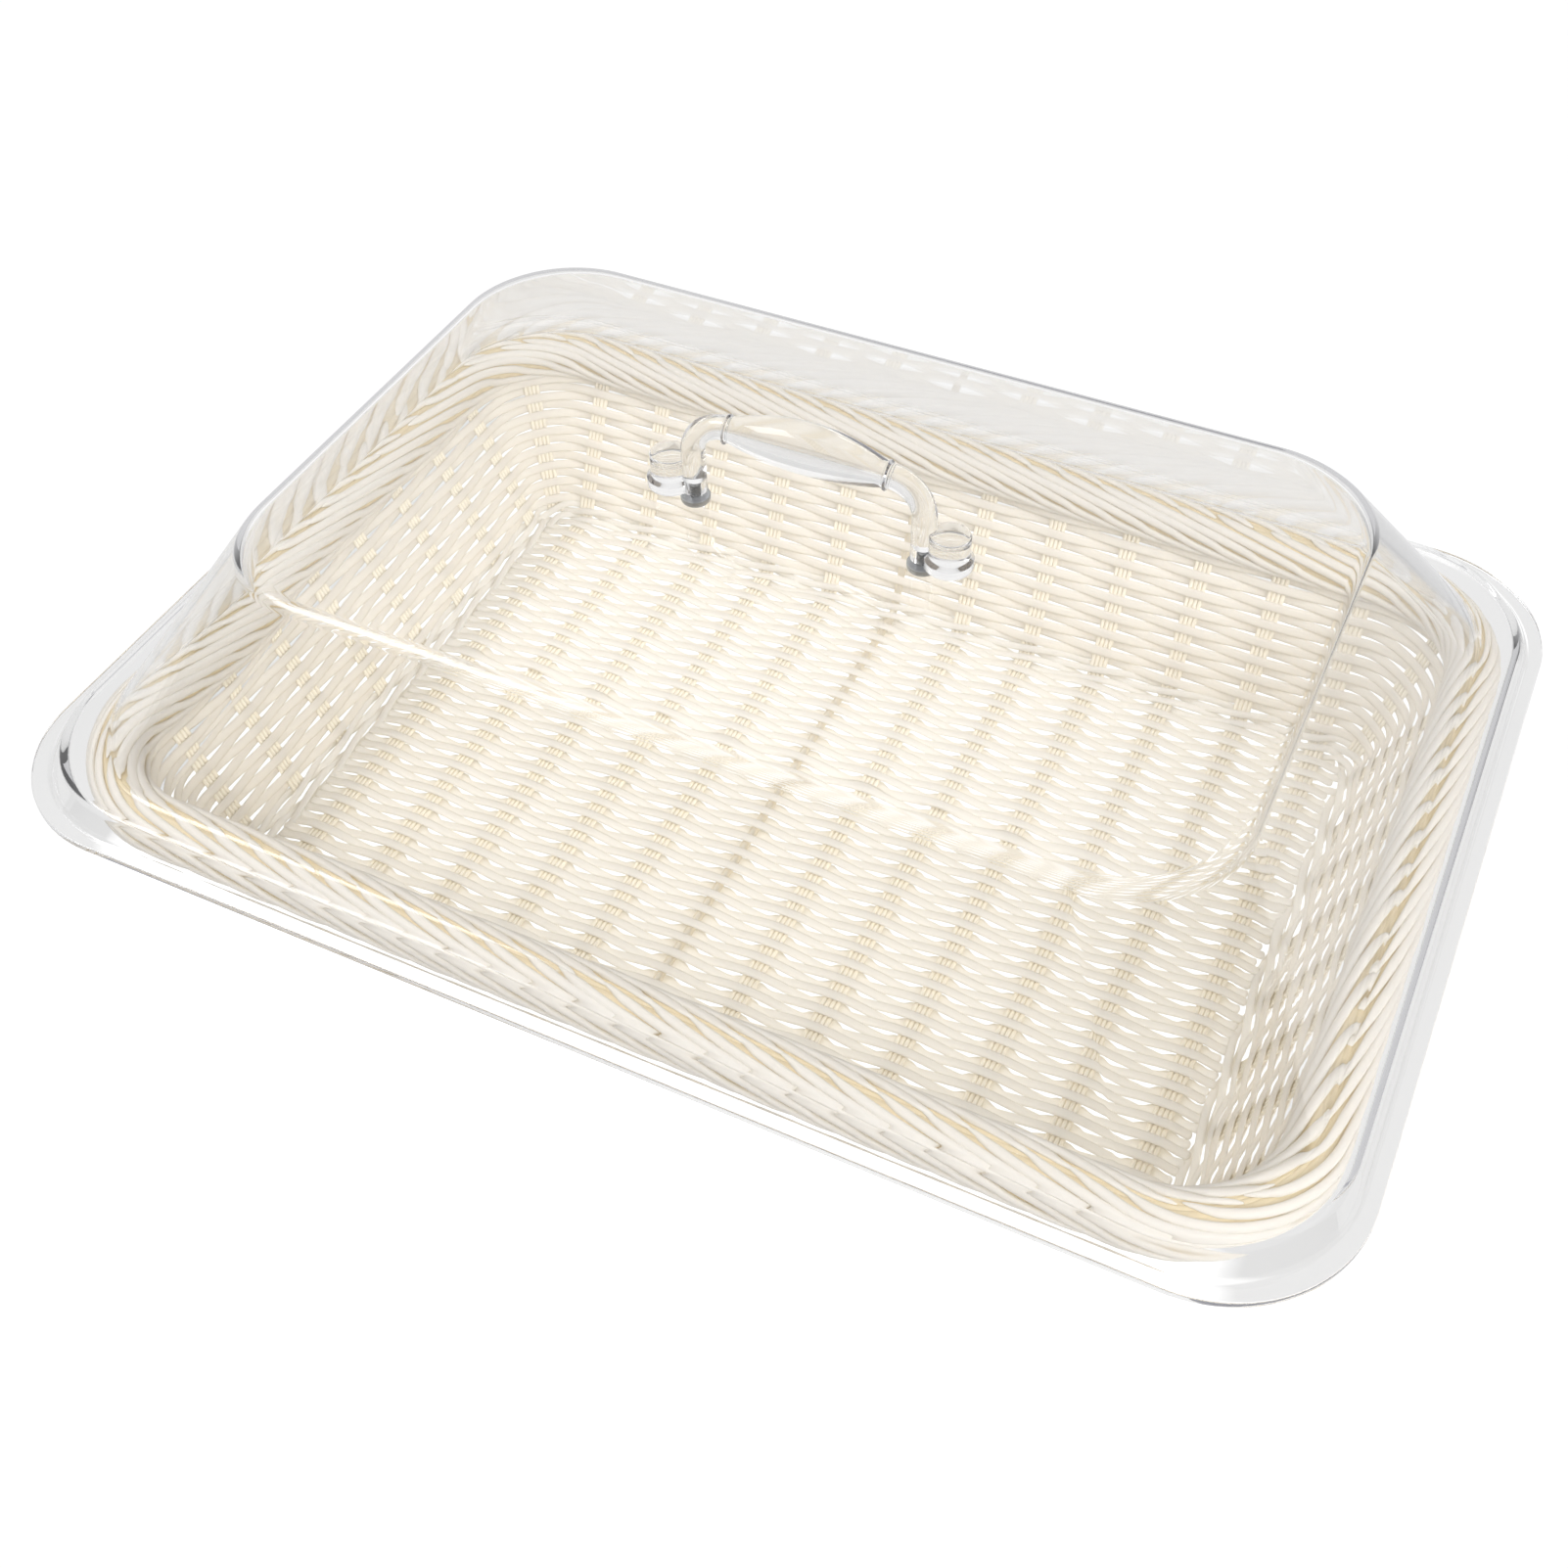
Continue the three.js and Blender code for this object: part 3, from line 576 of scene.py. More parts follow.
def floor_row(row, y):
    """The line of one floor weaver and its half width along it; the rows near the corners are a little
    shorter, and all come to one level past the last stakes."""
    beyond = max(abs(y) - RUN_Y, 0)
    end = FLOOR_END - END_ROUND + math.sqrt(END_ROUND ** 2 - beyond ** 2)
    first = -end + draw.normal(0, END_UNEVEN)
    last = end + draw.normal(0, END_UNEVEN)
    x = np.arange(first, last, stake_pitch / STEPS_PER_STAKE)
    side = 1 if row % 2 else -1
    wave = side * np.cos(np.pi * (x - columns[0]) / stake_pitch)
    wave *= 1 - smooth((np.abs(x) - columns[-1] - PRESSED_FROM) / END_LEVEL)
    nearest = np.abs(x[:, None] - columns).min(1)
    pressed = smooth((PRESSED_TO - nearest) / (PRESSED_TO - PRESSED_FROM)) * (wave < 0)
    pressed *= 1 + draw.normal(0, PRESSED_UNEVEN)
    lift = WEAVE_LIFT * (1 + draw.normal(0, LIFT_UNEVEN))
    middle = y + draw.normal(0, ROW_UNEVEN) + PRESSED_BACK * pressed
    line = np.column_stack([x, middle, FLOOR_LEVEL + lift * wave])
    return line, row_pitch / 2 + PRESSED_WIDER * pressed


row = 0
for band in floor_bands:
    strands = Strands()
    for shift in side_by_side(STRANDS_PER_BAND, row_pitch):
        line, half_width = floor_row(row, centre_of(band)[1] + shift)
        strands.add(line, (0, 1, 0), half_width, WEAVER_THICK / 2)
        row += 1
    # The floor rows get the cream's paler copy, which is painted light.
    strands.piece(band.replace("weaver", "strands"), CREAM_PAINTED_LIGHT, band)
print("floor rows:", row, "pitch", round(row_pitch, 5), "stake pitch", round(stake_pitch, 5))

# %% [markdown]
# ## Cross stakes
# A stake is four thin straw strands side by side. One flat band would have the same outline, but the grooves
# between the strands catch the light, so each strand is made. Twelve lines cross the floor and turn up both
# long walls; one of them, beside the middle, is a steel wire instead.

# %% Set the cross stakes
STAKE_STRANDS = 4
STAKE_STRAND = 0.0016
STAKE_FLOOR_STEPS = 12
STAKE_WALL_STEPS = 8
WALL_FLARE = 0.028
WALL_RISE = 0.0636
UPSET_RADIUS = 0.006
STAKE_TOP_LEVEL = 0.0695
RIB_DIAMETER = 0.003
WALL_LEAN = math.atan2(WALL_FLARE, WALL_RISE)
UP_WALL = np.array([math.sin(WALL_LEAN), math.cos(WALL_LEAN)])
UPSET_TURN = math.pi / 2 - WALL_LEAN
UPSET_RUN = UPSET_RADIUS * math.tan(UPSET_TURN / 2)


def section_point(run):
    """Reach, level and slope of the basket's middle surface, at a distance past the start of its bend."""
    turn = np.clip(run / UPSET_RADIUS, 0, UPSET_TURN)
    flat = np.minimum(run, 0)
    rise = np.maximum(run - UPSET_RADIUS * UPSET_TURN, 0)
    reach = flat - UPSET_RUN + UPSET_RADIUS * np.sin(turn) + rise * UP_WALL[0]
    level = FLOOR_LEVEL + UPSET_RADIUS * (1 - np.cos(turn)) + rise * UP_WALL[1]
    return reach, level, turn


bend_end = UPSET_RADIUS * UPSET_TURN
wall_end = bend_end + (STAKE_TOP_LEVEL - section_point(bend_end)[1]) / UP_WALL[1]
floor_half = FLOOR_WIDTH / 2 - UPSET_RUN
runs = np.concatenate([
    np.linspace(-floor_half, 0, STAKE_FLOOR_STEPS),
    np.linspace(0, bend_end, STAKE_WALL_STEPS)[1:],
    np.linspace(bend_end, wall_end, STAKE_WALL_STEPS)[1:],
])
half_line = np.column_stack([FLOOR_WIDTH / 2 + section_point(runs)[0], section_point(runs)[1]])
cross_line = np.concatenate([half_line[:0:-1] * (-1, 1), half_line])

for node in stake_nodes:
    x = centre_of(node)[0]
    strands = Strands()
    for shift in side_by_side(STAKE_STRANDS, STAKE_STRAND):
        line = np.column_stack([np.full(len(cross_line), x + shift), cross_line])
        strands.add(line, (1, 0, 0), STAKE_STRAND / 2, STAKE_STRAND / 2)
    strands.piece(node + "_strands", STRAW, node)

strands = Strands()
rib_x = centre_of("wire_rib")[0]
line = np.column_stack([np.full(len(cross_line), rib_x), cross_line])
strands.add(line, (1, 0, 0), RIB_DIAMETER / 2, RIB_DIAMETER / 2)
strands.piece("wire_rib_rod", WIRE, "wire_rib")
print("cross stakes:", len(stake_nodes), "and one wire at", round(rib_x, 4))

# %% [markdown]
# ## Round the walls
# The walls lean out and turn round four corners whose radius grows with height. Each row could follow a
# curve of its own, but rows, stakes and rim have to agree on where they cross. So one function gives a point
# for a distance round the basket, and everything follows the same outline.

# %% The outline of the basket
END_STAKES = len(nodes_named("left_stake"))
EDGE_MARGIN = columns[0] + RUN_X


def outline(reach, distance, reference):
    """Points and outward directions on the basket's outline, spread by the distance round another reach."""
    corner = FLOOR_CORNER + reach
    arc = (FLOOR_CORNER + reference) * math.pi / 2
    spans = np.array([2 * RUN_X, arc, 2 * RUN_Y, arc] * 2)
    ends = np.cumsum(spans)
    distance = np.mod(distance, ends[-1])
    span = np.searchsorted(ends, distance, side="right")
    local = distance - (ends - spans)[span]
    side = span // 2
    facing = (side - 1) * math.pi / 2
    run = np.where(side % 2, RUN_Y, RUN_X)
    half = np.where(side % 2, FLOOR_LENGTH, FLOOR_WIDTH) / 2
    out = np.column_stack([np.cos(facing), np.sin(facing)])
    along = np.column_stack([-out[:, 1], out[:, 0]])
    straight = out * (half + reach)[:, None] + along * (local - run)[:, None]
    turn = facing + local / arc * math.pi / 2
    spoke = np.column_stack([np.cos(turn), np.sin(turn)])
    hub = out * (half - FLOOR_CORNER)[:, None] + along * run[:, None]
    round_corner = hub + spoke * np.reshape(corner, (-1, 1))
    on_corner = (span % 2 == 1)[:, None]
    return np.where(on_corner, round_corner, straight), np.where(on_corner, spoke, out)


def length_round(reach):
    return 4 * (RUN_X + RUN_Y) + 2 * math.pi * (FLOOR_CORNER + reach)


def stake_distances(reach):
    """How far round the outline each stake stands, in order."""
    arc = (FLOOR_CORNER + reach) * math.pi / 2
    places = []
    start = 0.0
    for run, number in ((RUN_X, len(columns)), (RUN_Y, END_STAKES)) * 2:
        places += list(start + np.linspace(EDGE_MARGIN, 2 * run - EDGE_MARGIN, number))
        places.append(start + 2 * run + arc / 2)
        start += 2 * run + arc
    return np.array(places)


def distance_at(steps, reach):
    """Distance round the outline for places counted in stakes."""
    places = stake_distances(reach)
    places = np.append(places, places[0] + length_round(reach))
    turns, steps = np.divmod(steps, len(places) - 1)
    return np.interp(steps, np.arange(len(places)), places) + turns * length_round(reach)


def slant_at(level):
    return (level - FLOOR_LEVEL) / UP_WALL[1]


print("outline at the floor", round(length_round(0), 3), "and at the rim", round(length_round(WALL_FLARE), 3))

# %% [markdown]
# ## End and corner stakes
# The short walls and the corners have stakes of their own, which start at the foot of the wall. They could
# be turned copies of one stake, but each corner leans another way. So every stake is set at the station of
# the outline that is nearest to its solid, where the rows pass it.

# %% Set the end and corner stakes
END_STAKE_START = 0.0015
feet, leans = outline(0.0, stake_distances(0), 0.0)
slants = np.linspace(END_STAKE_START, slant_at(STAKE_TOP_LEVEL), STAKE_WALL_STEPS)
end_nodes = nodes_named("left_stake") + nodes_named("right_stake") + nodes_named("corner_stake")
for node in end_nodes:
    station = np.argmin(np.linalg.norm(feet - centre_of(node)[:2], axis=1))
    foot, out = feet[station], leans[station]
    along = np.array([-out[1], out[0]])
    strands = Strands()
    for shift in side_by_side(STAKE_STRANDS, STAKE_STRAND):
        plan = foot + along * shift + out * (slants * UP_WALL[0])[:, None]
        line = np.column_stack([plan, FLOOR_LEVEL + slants * UP_WALL[1]])
        strands.add(line, (*along, 0), STAKE_STRAND / 2, STAKE_STRAND / 2)
    strands.piece(node + "_strands", STRAW, node)
print("end and corner stakes:", len(end_nodes))

# %% [markdown]
# ## Walls
# The wall rows go round and round, out past one stake and in past the next. They are the floor's rows again
# on a leaning, turning surface, and the last one lies under the rim. An array along a curve could repeat one
# stretch, but the stakes stand closer at the corners, so the wave is counted in stakes.

# %% Weave the walls
ROWS_PER_HOOP = 3
STEPS_PER_STATION = 8
WALL_THICK = 0.0012
WALL_LIFT = 0.0015
WALL_FILL = 1.03
HOOP_START = 0.006
RIM_TUCK = 0.0025
HOOP_END = slant_at(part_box("rim_plait_outer")[0][2]) + RIM_TUCK
hoops = nodes_named("wall_hoop")
wall_pitch = (HOOP_END - HOOP_START) / (ROWS_PER_HOOP * len(hoops))
stations = len(stake_distances(0))
station_steps = np.arange(stations * STEPS_PER_STATION) / STEPS_PER_STATION


def wall_row(row, slant):
    """The line of one wall weaver and the direction up the wall at each of its points."""
    reach = slant * UP_WALL[0]
    side = 1 if row % 2 else -1
    out = side * WALL_LIFT * np.cos(np.pi * station_steps) * (1 + draw.normal(0, LIFT_UNEVEN))
    points, outs = outline(reach, distance_at(station_steps, reach), reach)
    plan = points + outs * (out * UP_WALL[1])[:, None]
    level = FLOOR_LEVEL + slant * UP_WALL[1] - out * UP_WALL[0]
    up = np.column_stack([outs * UP_WALL[0], np.full(len(outs), UP_WALL[1])])
    return np.column_stack([plan, level]), up


row = 0
for hoop in hoops:
    strands = Strands()
    for _ in range(ROWS_PER_HOOP):
        line, up = wall_row(row, HOOP_START + (row + 0.5) * wall_pitch)
        strands.add(line, up, WALL_FILL * wall_pitch / 2, WALL_THICK / 2, closed=True)
        row += 1
    strands.piece(hoop.replace("hoop", "strands"), CREAM, hoop)
print("wall rows:", row, "pitch", round(wall_pitch, 5))

# %% [markdown]
# ## Wale
# Where the stakes turn up, thicker strands twine round them in two ropes, one on the floor side of the bend
# and one on the wall side. A rope is a pair of strands that change places between the stakes, so that one
# lies inside each stake and the other outside, and a spot of the stake shows between the two ropes. A
# twisted curve would turn evenly along its length. Here the turn is counted in stakes, so that every
# crossing meets its stake.

# %% Twine the wale
ROPE_STRANDS = 2
ROPE_LEAD = 2
ROPE_PLACES = (0.0016, 0.0066)
ROPE_THROUGH = 0.0017
ROPE_ALONG = 0.0016
WALE_WIDTH = 0.0028
WALE_THICK = 0.0014


def wale_strand(place, turn):
    """The line of one strand of a rope and the direction up the section at each of its points."""
    angle = 2 * np.pi * (station_steps / ROPE_LEAD + turn)
    reach, level, slope = section_point(place + ROPE_ALONG * np.sin(angle))
    out = ROPE_THROUGH * np.cos(angle)
    reach = reach + out * np.sin(slope)
    points, outs = outline(reach, distance_at(station_steps, 0.0), 0.0)
    up = np.column_stack([outs * np.cos(slope)[:, None], np.sin(slope)])
    return np.column_stack([points, level - out * np.cos(slope)]), up


strands = Strands()
for place in ROPE_PLACES:
    for turn in np.arange(ROPE_STRANDS) / ROPE_STRANDS:
        line, up = wale_strand(place, turn)
        strands.add(line, up, WALE_WIDTH / 2, WALE_THICK / 2, closed=True)
# The wale gets the cream's paler copy, painted light that lifts the shade at the foot of the walls.
strands.piece("base_wale_strands", CREAM_PAINTED_LIGHT, "base_wale")
print("wale strands:", ROPE_STRANDS * len(ROPE_PLACES))

# %% [markdown]
# ## Rim
# The border is a plait laid over the folded ends of the stakes. On the outside flat strands start with
# slender tips at the middle of the rim, roll over the outer shoulder and run down along the side. On the
# inside others climb the shoulder and end in the same way at the middle. The tips stand like the teeth of a
# saw, and the straw ends of the stakes show between them. A tube with a bump map would have no gaps to show
# them, so each strand follows the rim's rounded section while it moves along the rim.

# %% Plait the rim
RIM_HALF_WIDTH = 0.0095
RIM_HALF_HEIGHT = 0.0084
RIM_SQUARENESS = 0.75
OUTER_WIDTH = 0.0030
INNER_WIDTH = 0.0031
RIM_STRAND_THICK = 0.0022
RIM_TRAVEL = 0.082
RIM_TIP = 0.009
RIM_STEPS = 28
OUTER_ANGLES = (-6, 135)
INNER_ANGLES = (-145, 3)
OUTER_STRANDS = ((0.0, 1.0), (0.5, 1.0))
INNER_STRANDS = ((0.25, 1.0), (0.75, 0.96))
ROLL_UNEVEN = 1.0
DEPTH_UNEVEN = 0.0001
TRAVEL_UNEVEN = 0.0004
NORMAL_STEP = 0.001
rim_low, rim_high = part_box("rim_plait_outer")
RIM_MIDDLE = (rim_low[2] + rim_high[2]) / 2


def rim_section(angle, lift):
    """Offset and level on the rim's rounded section; the angle is 0 on top and grows outwards."""
    sine, cosine = np.sin(angle), np.cos(angle)
    across = np.sign(sine) * np.abs(sine) ** RIM_SQUARENESS * (RIM_HALF_WIDTH + lift)
    level = RIM_MIDDLE + np.sign(cosine) * np.abs(cosine) ** RIM_SQUARENESS * (RIM_HALF_HEIGHT + lift)
    return across, level


def rim_strand(strands, width, station, angles, last):
    """One strand that rolls from one angle to the other along the rim, up to a share of that way."""
    share = np.linspace(0, last, RIM_STEPS)
    angle = np.radians(angles[0] + (angles[1] - angles[0]) * share + draw.normal(0, ROLL_UNEVEN))
    lift = draw.normal(0, DEPTH_UNEVEN) - RIM_STRAND_THICK / 2
    across, level = rim_section(angle, lift)
    outer, outer_level = rim_section(angle, lift + NORMAL_STEP)
    distance = distance_at(station, WALL_FLARE) + RIM_TRAVEL * share + draw.normal(0, TRAVEL_UNEVEN)
    points, outs = outline(WALL_FLARE, distance, WALL_FLARE)
    line = np.column_stack([points + outs * across[:, None], level])
    normal = np.column_stack([outs * (outer - across)[:, None], outer_level - level])
    ahead = np.gradient(line, axis=0)
    strands.add(line, np.cross(normal, ahead), width / 2, RIM_STRAND_THICK / 2, tip=RIM_TIP)


outer_strands = Strands()
inner_strands = Strands()
for station in range(stations):
    for shift, last in OUTER_STRANDS:
        rim_strand(outer_strands, OUTER_WIDTH, station + shift, OUTER_ANGLES, last)
    for shift, last in INNER_STRANDS:
        rim_strand(inner_strands, INNER_WIDTH, station + shift, INNER_ANGLES, last)
# The plait gets the cream's paler copy, which is painted light.
outer_strands.piece("rim_plait_outer_strands", CREAM_PAINTED_LIGHT, "rim_plait_outer")
inner_strands.piece("rim_plait_inner_strands", CREAM_PAINTED_LIGHT, "rim_plait_inner")
print("rim strands:", stations * (len(OUTER_STRANDS) + len(INNER_STRANDS)))

# %% [markdown]
# ## Folded ends
# Inside the border the stakes are bent over and run along the rim. Only their straw colour shows, as small
# spots between the tips of the plait. The true path of each end would be hidden work, so straw strands lie
# side by side on the same rounded section, just under the plait.

# %% Fold the stakes' ends into the rim
FOLDED_ANGLES = np.radians(np.linspace(-105, 105, 19))
FOLDED_DEPTH = 0.0025
FOLDED_WIDTH = 0.0029
FOLDED_THICK = 0.0018
FOLDED_STEPS = 300

strands = Strands()
round_trip = np.linspace(0, length_round(WALL_FLARE), FOLDED_STEPS, endpoint=False)
for angle in FOLDED_ANGLES:
    across, level = rim_section(angle, -FOLDED_DEPTH)
    points, outs = outline(WALL_FLARE + across, round_trip, WALL_FLARE)
    wide = np.column_stack([outs * math.cos(angle), np.full(len(outs), -math.sin(angle))])
    strands.add(np.column_stack([points, np.full(len(points), level)]), wide,
                FOLDED_WIDTH / 2, FOLDED_THICK / 2, closed=True)
# The folded ends get the straw's darker copy, which is painted shade.
strands.piece("rim_stake_ends", STRAW_PAINTED_SHADE)
print("folded ends:", len(FOLDED_ANGLES), "strands")

# %% [markdown]
# ## Rim wire
# A steel hoop in the border keeps its shape. A bent ring of wire needs no more than one closed strand with a
# round section, on the walls' outline and at the level of its solid.

# %% Lay the rim wire
RIM_WIRE = 0.0022
WIRE_STEPS = 240
wire_level = centre_of("rim_wire")[2]
wire_reach = (wire_level - FLOOR_LEVEL) * math.tan(WALL_LEAN)
round_trip = np.linspace(0, length_round(wire_reach), WIRE_STEPS, endpoint=False)
points, outs = outline(wire_reach, round_trip, wire_reach)
strands = Strands()
strands.add(np.column_stack([points, np.full(len(points), wire_level)]),
            np.column_stack([outs, np.zeros(len(outs))]), RIM_WIRE / 2, RIM_WIRE / 2, closed=True)
strands.piece("rim_wire_hoop", WIRE, "rim_wire")
print("rim wire at level", round(wire_level, 4))

# %% [markdown]
# ## Lines for mouldings
# Mouldings have round bends everywhere, because plastic doesn't flow round a sharp one. A Bevel modifier
# could round them after the fact. Here the bends belong to the drawing, where each gets its own radius and
# the two faces of a wall keep one centre.


# %% Round and offset lines
def rounded(points, radii, steps):
    """A line with each inner corner replaced by an arc."""
    points = np.asarray(points, float)
    line = [points[0]]
    for before, point, after, radius in zip(points, points[1:], points[2:], radii):
        to_before = (before - point) / np.linalg.norm(before - point)
        to_after = (after - point) / np.linalg.norm(after - point)
        half = math.acos(np.clip(to_before @ to_after, -1, 1)) / 2
        middle = (to_before + to_after) / np.linalg.norm(to_before + to_after)
        centre = point + middle * radius / math.sin(half)
        first = point + to_before * radius / math.tan(half) - centre
        last = point + to_after * radius / math.tan(half) - centre
        turn = math.atan2(first[0] * last[1] - first[1] * last[0], first @ last)
        for angle in np.linspace(0, turn, steps + 1):
            spin = np.array([[math.cos(angle), -math.sin(angle)], [math.sin(angle), math.cos(angle)]])
            line.append(centre + spin @ first)
    line.append(points[-1])
    return np.array(line)


def offset_line(points, distance):
    """A line moved to its left with mitred corners."""
    points = np.asarray(points, float)
    heading = np.diff(points, axis=0)
    heading /= np.linalg.norm(heading, axis=1)[:, None]
    left = np.column_stack([-heading[:, 1], heading[:, 0]])
    before = np.vstack([left[:1], left])
    after = np.vstack([left, left[-1:]])
    mitre = before + after
    mitre /= np.linalg.norm(mitre, axis=1)[:, None]
    return points + mitre * (distance / (mitre * before).sum(1))[:, None]


print("lines can be rounded and offset")

# %% [markdown]
# ## Skins for mouldings
# A moulding is a stack of loops with one closed skin over them. Solidify and Screw modifiers could give much
# the same, but with loops every level is the one that the solids have. Feet are joined on and holes are
# drilled with an exact Boolean. Its result is kept as a plain mesh, so no helper stays in the scene.

# %% Skin, join and drill
TURNED_SIDES = 48
TURN = 2 * np.pi * np.arange(TURNED_SIDES) / TURNED_SIDES
RING = np.column_stack([np.cos(TURN), np.sin(TURN), np.zeros(TURNED_SIDES)])
HOLE_RADIUS = 0.0021
SHARP = math.radians(40)


def shell_mesh(name, loops):
    """A closed skin over loops with equal counts, with a flat cap on the first and the last."""
    count = len(loops[0])
    faces = [tuple(range(count - 1, -1, -1))]
    for row in range(len(loops) - 1):
        for i in range(count):
            n = (i + 1) % count
            faces.append((row * count + i, row * count + n, (row + 1) * count + n, (row + 1) * count + i))
    last = (len(loops) - 1) * count
    faces.append(tuple(range(last, last + count)))
    mesh = bpy.data.meshes.new(name)
    mesh.from_pydata([tuple(point) for loop in loops for point in loop], [], faces)
    mesh.shade_smooth()
    return mesh


def combined(mesh, tool, operation):
    """A mesh joined with another or cut by it."""
    body, cutter = (bpy.data.objects.new("combining", part) for part in (mesh, tool))
    for part in (body, cutter):
        bpy.context.scene.collection.objects.link(part)
    change = body.modifiers.new("change", "BOOLEAN")
    change.operation, change.object, change.solver = operation, cutter, "EXACT"
    result = bpy.data.meshes.new_from_object(body.evaluated_get(bpy.context.evaluated_depsgraph_get()))
    for part in (body, cutter):
        bpy.data.objects.remove(part)
    return result


def turned(name, profile, x):
    """A turned solid about an upright axis at x, from radii and levels."""
    return shell_mesh(name, [RING * radius + (x, 0, level) for radius, level in profile])


def drilled(mesh, x, low, high):
    """A mesh with a screw hole between two levels."""
    drill = turned("drill", [(HOLE_RADIUS, low), (HOLE_RADIUS, high)], x)
    return combined(mesh, drill, "DIFFERENCE")


print("turned pieces have", TURNED_SIDES, "sides")

# %% [markdown]
# ## Lid
# The lid is one clear moulding of even wall: a flat lip, a skirt round the rim, a shelf that sits on the
# rim, sloping walls and a flat panel. A sheet without thickness would bend no light, so the profile goes
# along the inside of the wall, round the lip and back along the outside. Each point of it becomes a rounded
# rectangle.

# %% Mould the lid
LID_WALL = 0.0025
LID_CORNER = 0.045
PANEL_CORNER = 0.038
LIP_WIDTH = 0.004
SKIRT_REACH = 0.0046
SKIRT_DROP = 0.0073
SHELF_WIDTH = 0.0097
LID_TAPER = 0.0411
LIP_EDGE = 0.0004
LIP_BEND = 0.0008
SKIRT_BEND = 0.0008
SHELF_BEND = 0.003
CREASE_BEND = 0.0035
PANEL_BORDER = 0.008
CORNER_STEPS = 24
BEND_STEPS = 10
HANDLE_HALF = 0.038
DRILL_BELOW = 0.005
DRILL_ABOVE = 0.003

lid_low, lid_high = (np.array(corner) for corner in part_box("lid_shell"))
PANEL_LEVEL = lid_high[2]
LIP_LEVEL = lid_low[2] + LID_WALL
SHELF_LEVEL = LIP_LEVEL + SKIRT_DROP
SHELF_INSET = LIP_WIDTH + SKIRT_REACH
PANEL_INSET = SHELF_INSET + SHELF_WIDTH + LID_TAPER


def lid_loop(inset, level):
    """The lid's outline at a distance inside the edge of its lip."""
    corner = LID_CORNER + (PANEL_CORNER - LID_CORNER) * inset / PANEL_INSET
    half_x, half_y = lid_high[0] - inset, lid_high[1] - inset
    loop = []
    for quarter, (x, y) in enumerate(((1, -1), (1, 1), (-1, 1), (-1, -1))):
        for step in range(CORNER_STEPS + 1):
            angle = (quarter - 1 + step / CORNER_STEPS) * math.pi / 2
            loop.append((x * (half_x - corner) + corner * math.cos(angle),
                         y * (half_y - corner) + corner * math.sin(angle), level))
    return loop


def lid_profile():
    """The section through the lid's wall, from the panel's under side round the lip to its upper side."""
    nose = (0, LIP_LEVEL - LID_WALL / 2)
    outside = [(0, LIP_LEVEL), (LIP_WIDTH, LIP_LEVEL), (SHELF_INSET, SHELF_LEVEL),
               (SHELF_INSET + SHELF_WIDTH, SHELF_LEVEL), (PANEL_INSET, PANEL_LEVEL),
               (PANEL_INSET + PANEL_BORDER, PANEL_LEVEL)]
    inside = offset_line(outside, -LID_WALL)
    outer_bends = (LIP_EDGE, LIP_BEND, SKIRT_BEND + LID_WALL, SHELF_BEND, CREASE_BEND + LID_WALL)
    inner_bends = (LIP_EDGE, LIP_BEND + LID_WALL, SKIRT_BEND, SHELF_BEND + LID_WALL, CREASE_BEND)
    outer = rounded(np.vstack([nose, outside]), outer_bends, BEND_STEPS)
    inner = rounded(np.vstack([nose, inside]), inner_bends, BEND_STEPS)
    return np.vstack([inner[:0:-1], outer])


mesh = shell_mesh("lid_moulding", [lid_loop(*point) for point in lid_profile()])
for side in (-1, 1):
    mesh = drilled(mesh, side * HANDLE_HALF, PANEL_LEVEL - DRILL_BELOW, PANEL_LEVEL + DRILL_ABOVE)
mesh.set_sharp_from_angle(angle=SHARP)
dress("lid_moulding", mesh, CLEAR, "lid", "lid_shell")
print("lid faces:", len(mesh.polygons))

# %% [markdown]
# ## Handle
# One clear moulding: two legs that bend into a barrel grip between two beads, and a stepped round foot
# outside each leg. It could be put together from loose solids, but then light would meet walls inside the
# plastic. So the bow is one row of rings along its middle line, the feet are turned and joined to it, and
# the holes are drilled.

# %% Mould the handle
HANDLE_RISE = 0.0263
BOW_RADIUS = 0.0115
LEG_RADIUS = 0.0038
GRIP_RADIUS = 0.0078
GRIP_END_RADIUS = 0.0041
GRIP_ARCH = 0.0012
BEAD_RADIUS = 0.0047
BEAD_WIDTH = 0.0012
BEAD_SHARES = np.linspace(0.05, 0.95, 9)
GRIP_SHARES = np.linspace(1, 0, 20)
LEG_STEPS = 5
BOW_STEPS = 18
BOW_SIDES = 40
FOOT_OFFSET = 0.0083
FOOT_RADIUS = 0.0075
POST_RADIUS = 0.0063
FOOT_CAP = 0.003
FOOT_STEP = 0.003
POST_START = 0.0042
POST_TOP = 0.0116
FOOT_BENDS = (0.0003, 0.0005, 0.0006, 0.0008)
FOOT_STEPS = 5
HOLE_BELOW = 0.002
HOLE_ABOVE = 0.0003
SCREW_TOP = PANEL_LEVEL + 0.004
handle_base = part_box("lid_handle")[0][2]


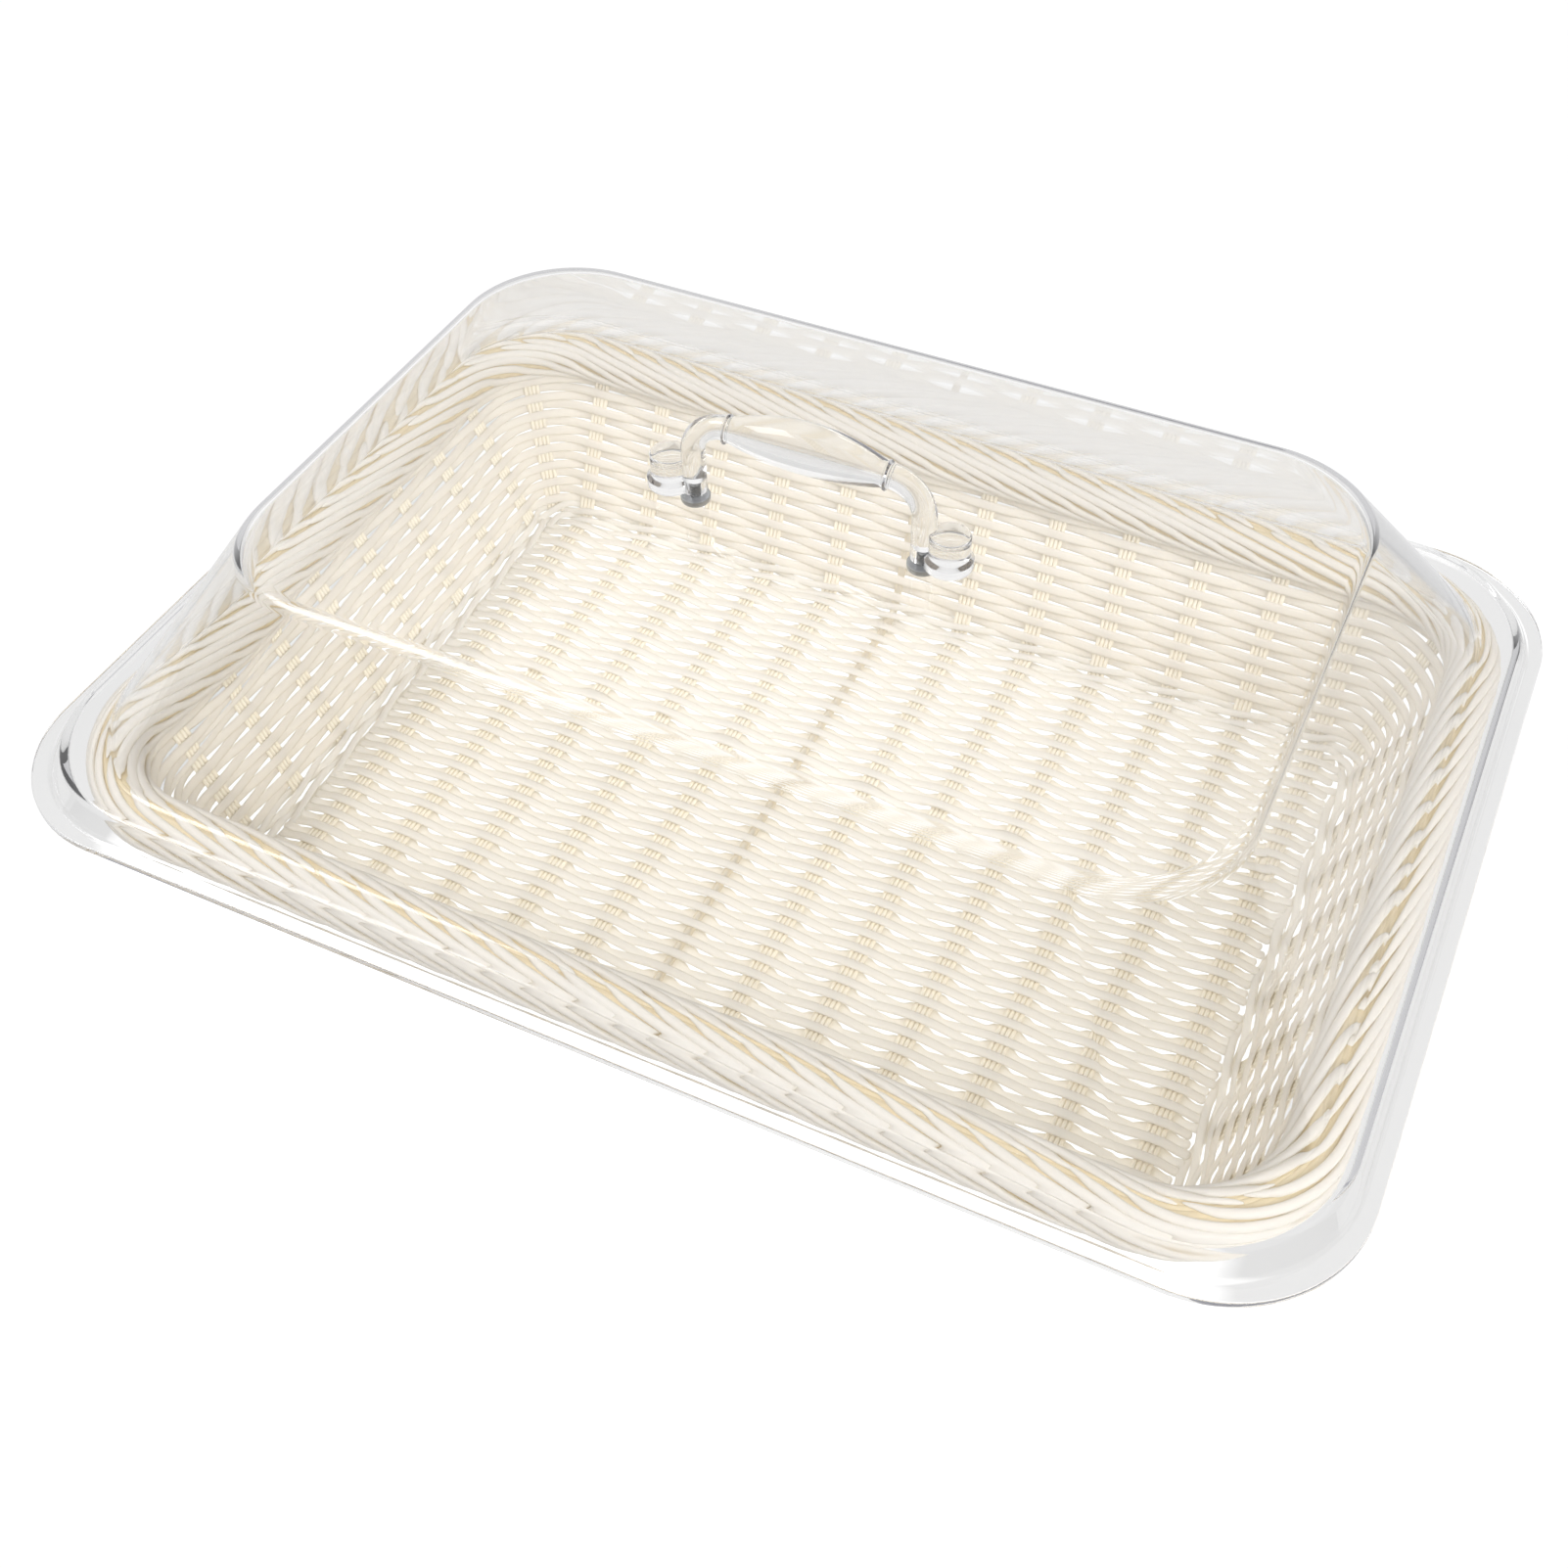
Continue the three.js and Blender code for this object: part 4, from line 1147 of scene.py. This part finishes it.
def half_bow():
    """Middle line and radii of the bow's left half, from the foot of the leg to the middle of the grip."""
    inner = HANDLE_HALF - BOW_RADIUS
    leg_top = HANDLE_RISE - BOW_RADIUS
    grip_half = inner - 1.5 * BEAD_WIDTH
    leg = [(-HANDLE_HALF, z, LEG_RADIUS) for z in np.linspace(0, leg_top, LEG_STEPS)]
    bend = [(-inner - BOW_RADIUS * math.cos(a), leg_top + BOW_RADIUS * math.sin(a), LEG_RADIUS)
            for a in np.linspace(0, math.pi / 2, BOW_STEPS)[1:]]
    bead = [(-inner + BEAD_WIDTH * s, HANDLE_RISE,
             LEG_RADIUS + (BEAD_RADIUS - LEG_RADIUS) * math.sqrt(math.sin(math.pi * s))) for s in BEAD_SHARES]
    grip = [(-grip_half * s, HANDLE_RISE + GRIP_ARCH * (1 - s * s),
             GRIP_END_RADIUS + (GRIP_RADIUS - GRIP_END_RADIUS) * (1 - s * s)) for s in GRIP_SHARES]
    return np.array(leg + bend + bead + grip)


left_half = half_bow()
bow = np.vstack([left_half, left_half[-2::-1] * (-1, 1, 1)])
heading = np.gradient(bow[:, :2], axis=0)
heading /= np.linalg.norm(heading, axis=1)[:, None]
angles = 2 * np.pi * np.arange(BOW_SIDES) / BOW_SIDES
rings = [
    np.column_stack([x - along_z * radius * np.cos(angles), radius * np.sin(angles),
                     handle_base + z + along_x * radius * np.cos(angles)])
    for (x, z, radius), (along_x, along_z) in zip(bow, heading)
]
mesh = shell_mesh("handle_moulding", rings)
foot_corners = [(FOOT_CAP, 0), (FOOT_RADIUS, 0), (FOOT_RADIUS, FOOT_STEP), (POST_RADIUS, POST_START),
                (POST_RADIUS, POST_TOP), (FOOT_CAP, POST_TOP)]
foot = rounded(foot_corners, FOOT_BENDS, FOOT_STEPS) + (0, handle_base)
for side in (-1, 1):
    mesh = combined(mesh, turned("foot", foot, side * (HANDLE_HALF + FOOT_OFFSET)), "UNION")
    mesh = drilled(mesh, side * HANDLE_HALF, handle_base - HOLE_BELOW, SCREW_TOP + HOLE_ABOVE)
mesh.set_sharp_from_angle(angle=SHARP)
dress("handle_moulding", mesh, CLEAR, "lid", "lid_handle")
print("handle faces:", len(mesh.polygons))

# %% [markdown]
# ## Screws
# A pan-head screw stands in each leg with its head under the panel, and the head has a cross for the driver
# underneath. The thread could be left to a bump map, but it shows through the clear leg. So it is a ridge
# that turns as it climbs.

# %% Turn the screws
HEAD_RADIUS = 0.0047
HEAD_HEIGHT = 0.0026
HEAD_CAP = 0.001
HEAD_BENDS = (0.0013, 0.0002)
HEAD_STEPS = 6
SHANK_RADIUS = 0.0018
SHANK_START = 0.0001
SHANK_STEP = 0.00015
THREAD_DEPTH = 0.0003
THREAD_PITCH = 0.0009
POINT_LENGTH = 0.0015
POINT_SHARE = 0.4
CROSS_HALF = (0.0022, 0.0005)
CROSS_DEPTH = 0.0013
CROSS_BELOW = 0.001
screw_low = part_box("handle_screw_left")[0][2]


def screw_mesh(x):
    """A screw from the under side of its head to its point."""
    seat = screw_low + HEAD_HEIGHT
    head_corners = [(HEAD_CAP, screw_low), (HEAD_RADIUS, screw_low), (HEAD_RADIUS, seat), (SHANK_RADIUS, seat)]
    head = rounded(head_corners, HEAD_BENDS, HEAD_STEPS)
    loops = [RING * radius + (x, 0, level) for radius, level in head]
    for level in np.arange(seat + SHANK_START, SCREW_TOP, SHANK_STEP):
        ridge = np.abs(((level - seat) / THREAD_PITCH - TURN / (2 * np.pi)) % 1 - 0.5) * 2
        taper = min(1, (SCREW_TOP - level) / POINT_LENGTH + POINT_SHARE)
        loops.append(RING * ((SHANK_RADIUS - THREAD_DEPTH * ridge) * taper)[:, None] + (x, 0, level))
    return shell_mesh("screw", loops)


def bar_mesh(half_x, half_y, x, low, high):
    corners = [(half_x, half_y), (-half_x, half_y), (-half_x, -half_y), (half_x, -half_y)]
    return shell_mesh("bar", [[(x + a, b, level) for a, b in corners] for level in (low, high)])


for node, side in (("handle_screw_left", -1), ("handle_screw_right", 1)):
    mesh = screw_mesh(side * HANDLE_HALF)
    for half_x, half_y in (CROSS_HALF, CROSS_HALF[::-1]):
        bar = bar_mesh(half_x, half_y, side * HANDLE_HALF, screw_low - CROSS_BELOW, screw_low + CROSS_DEPTH)
        mesh = combined(mesh, bar, "DIFFERENCE")
    mesh.set_sharp_from_angle(angle=SHARP)
    dress(node + "_turned", mesh, SCREW, "lid", node)
print("screw faces:", len(mesh.polygons))
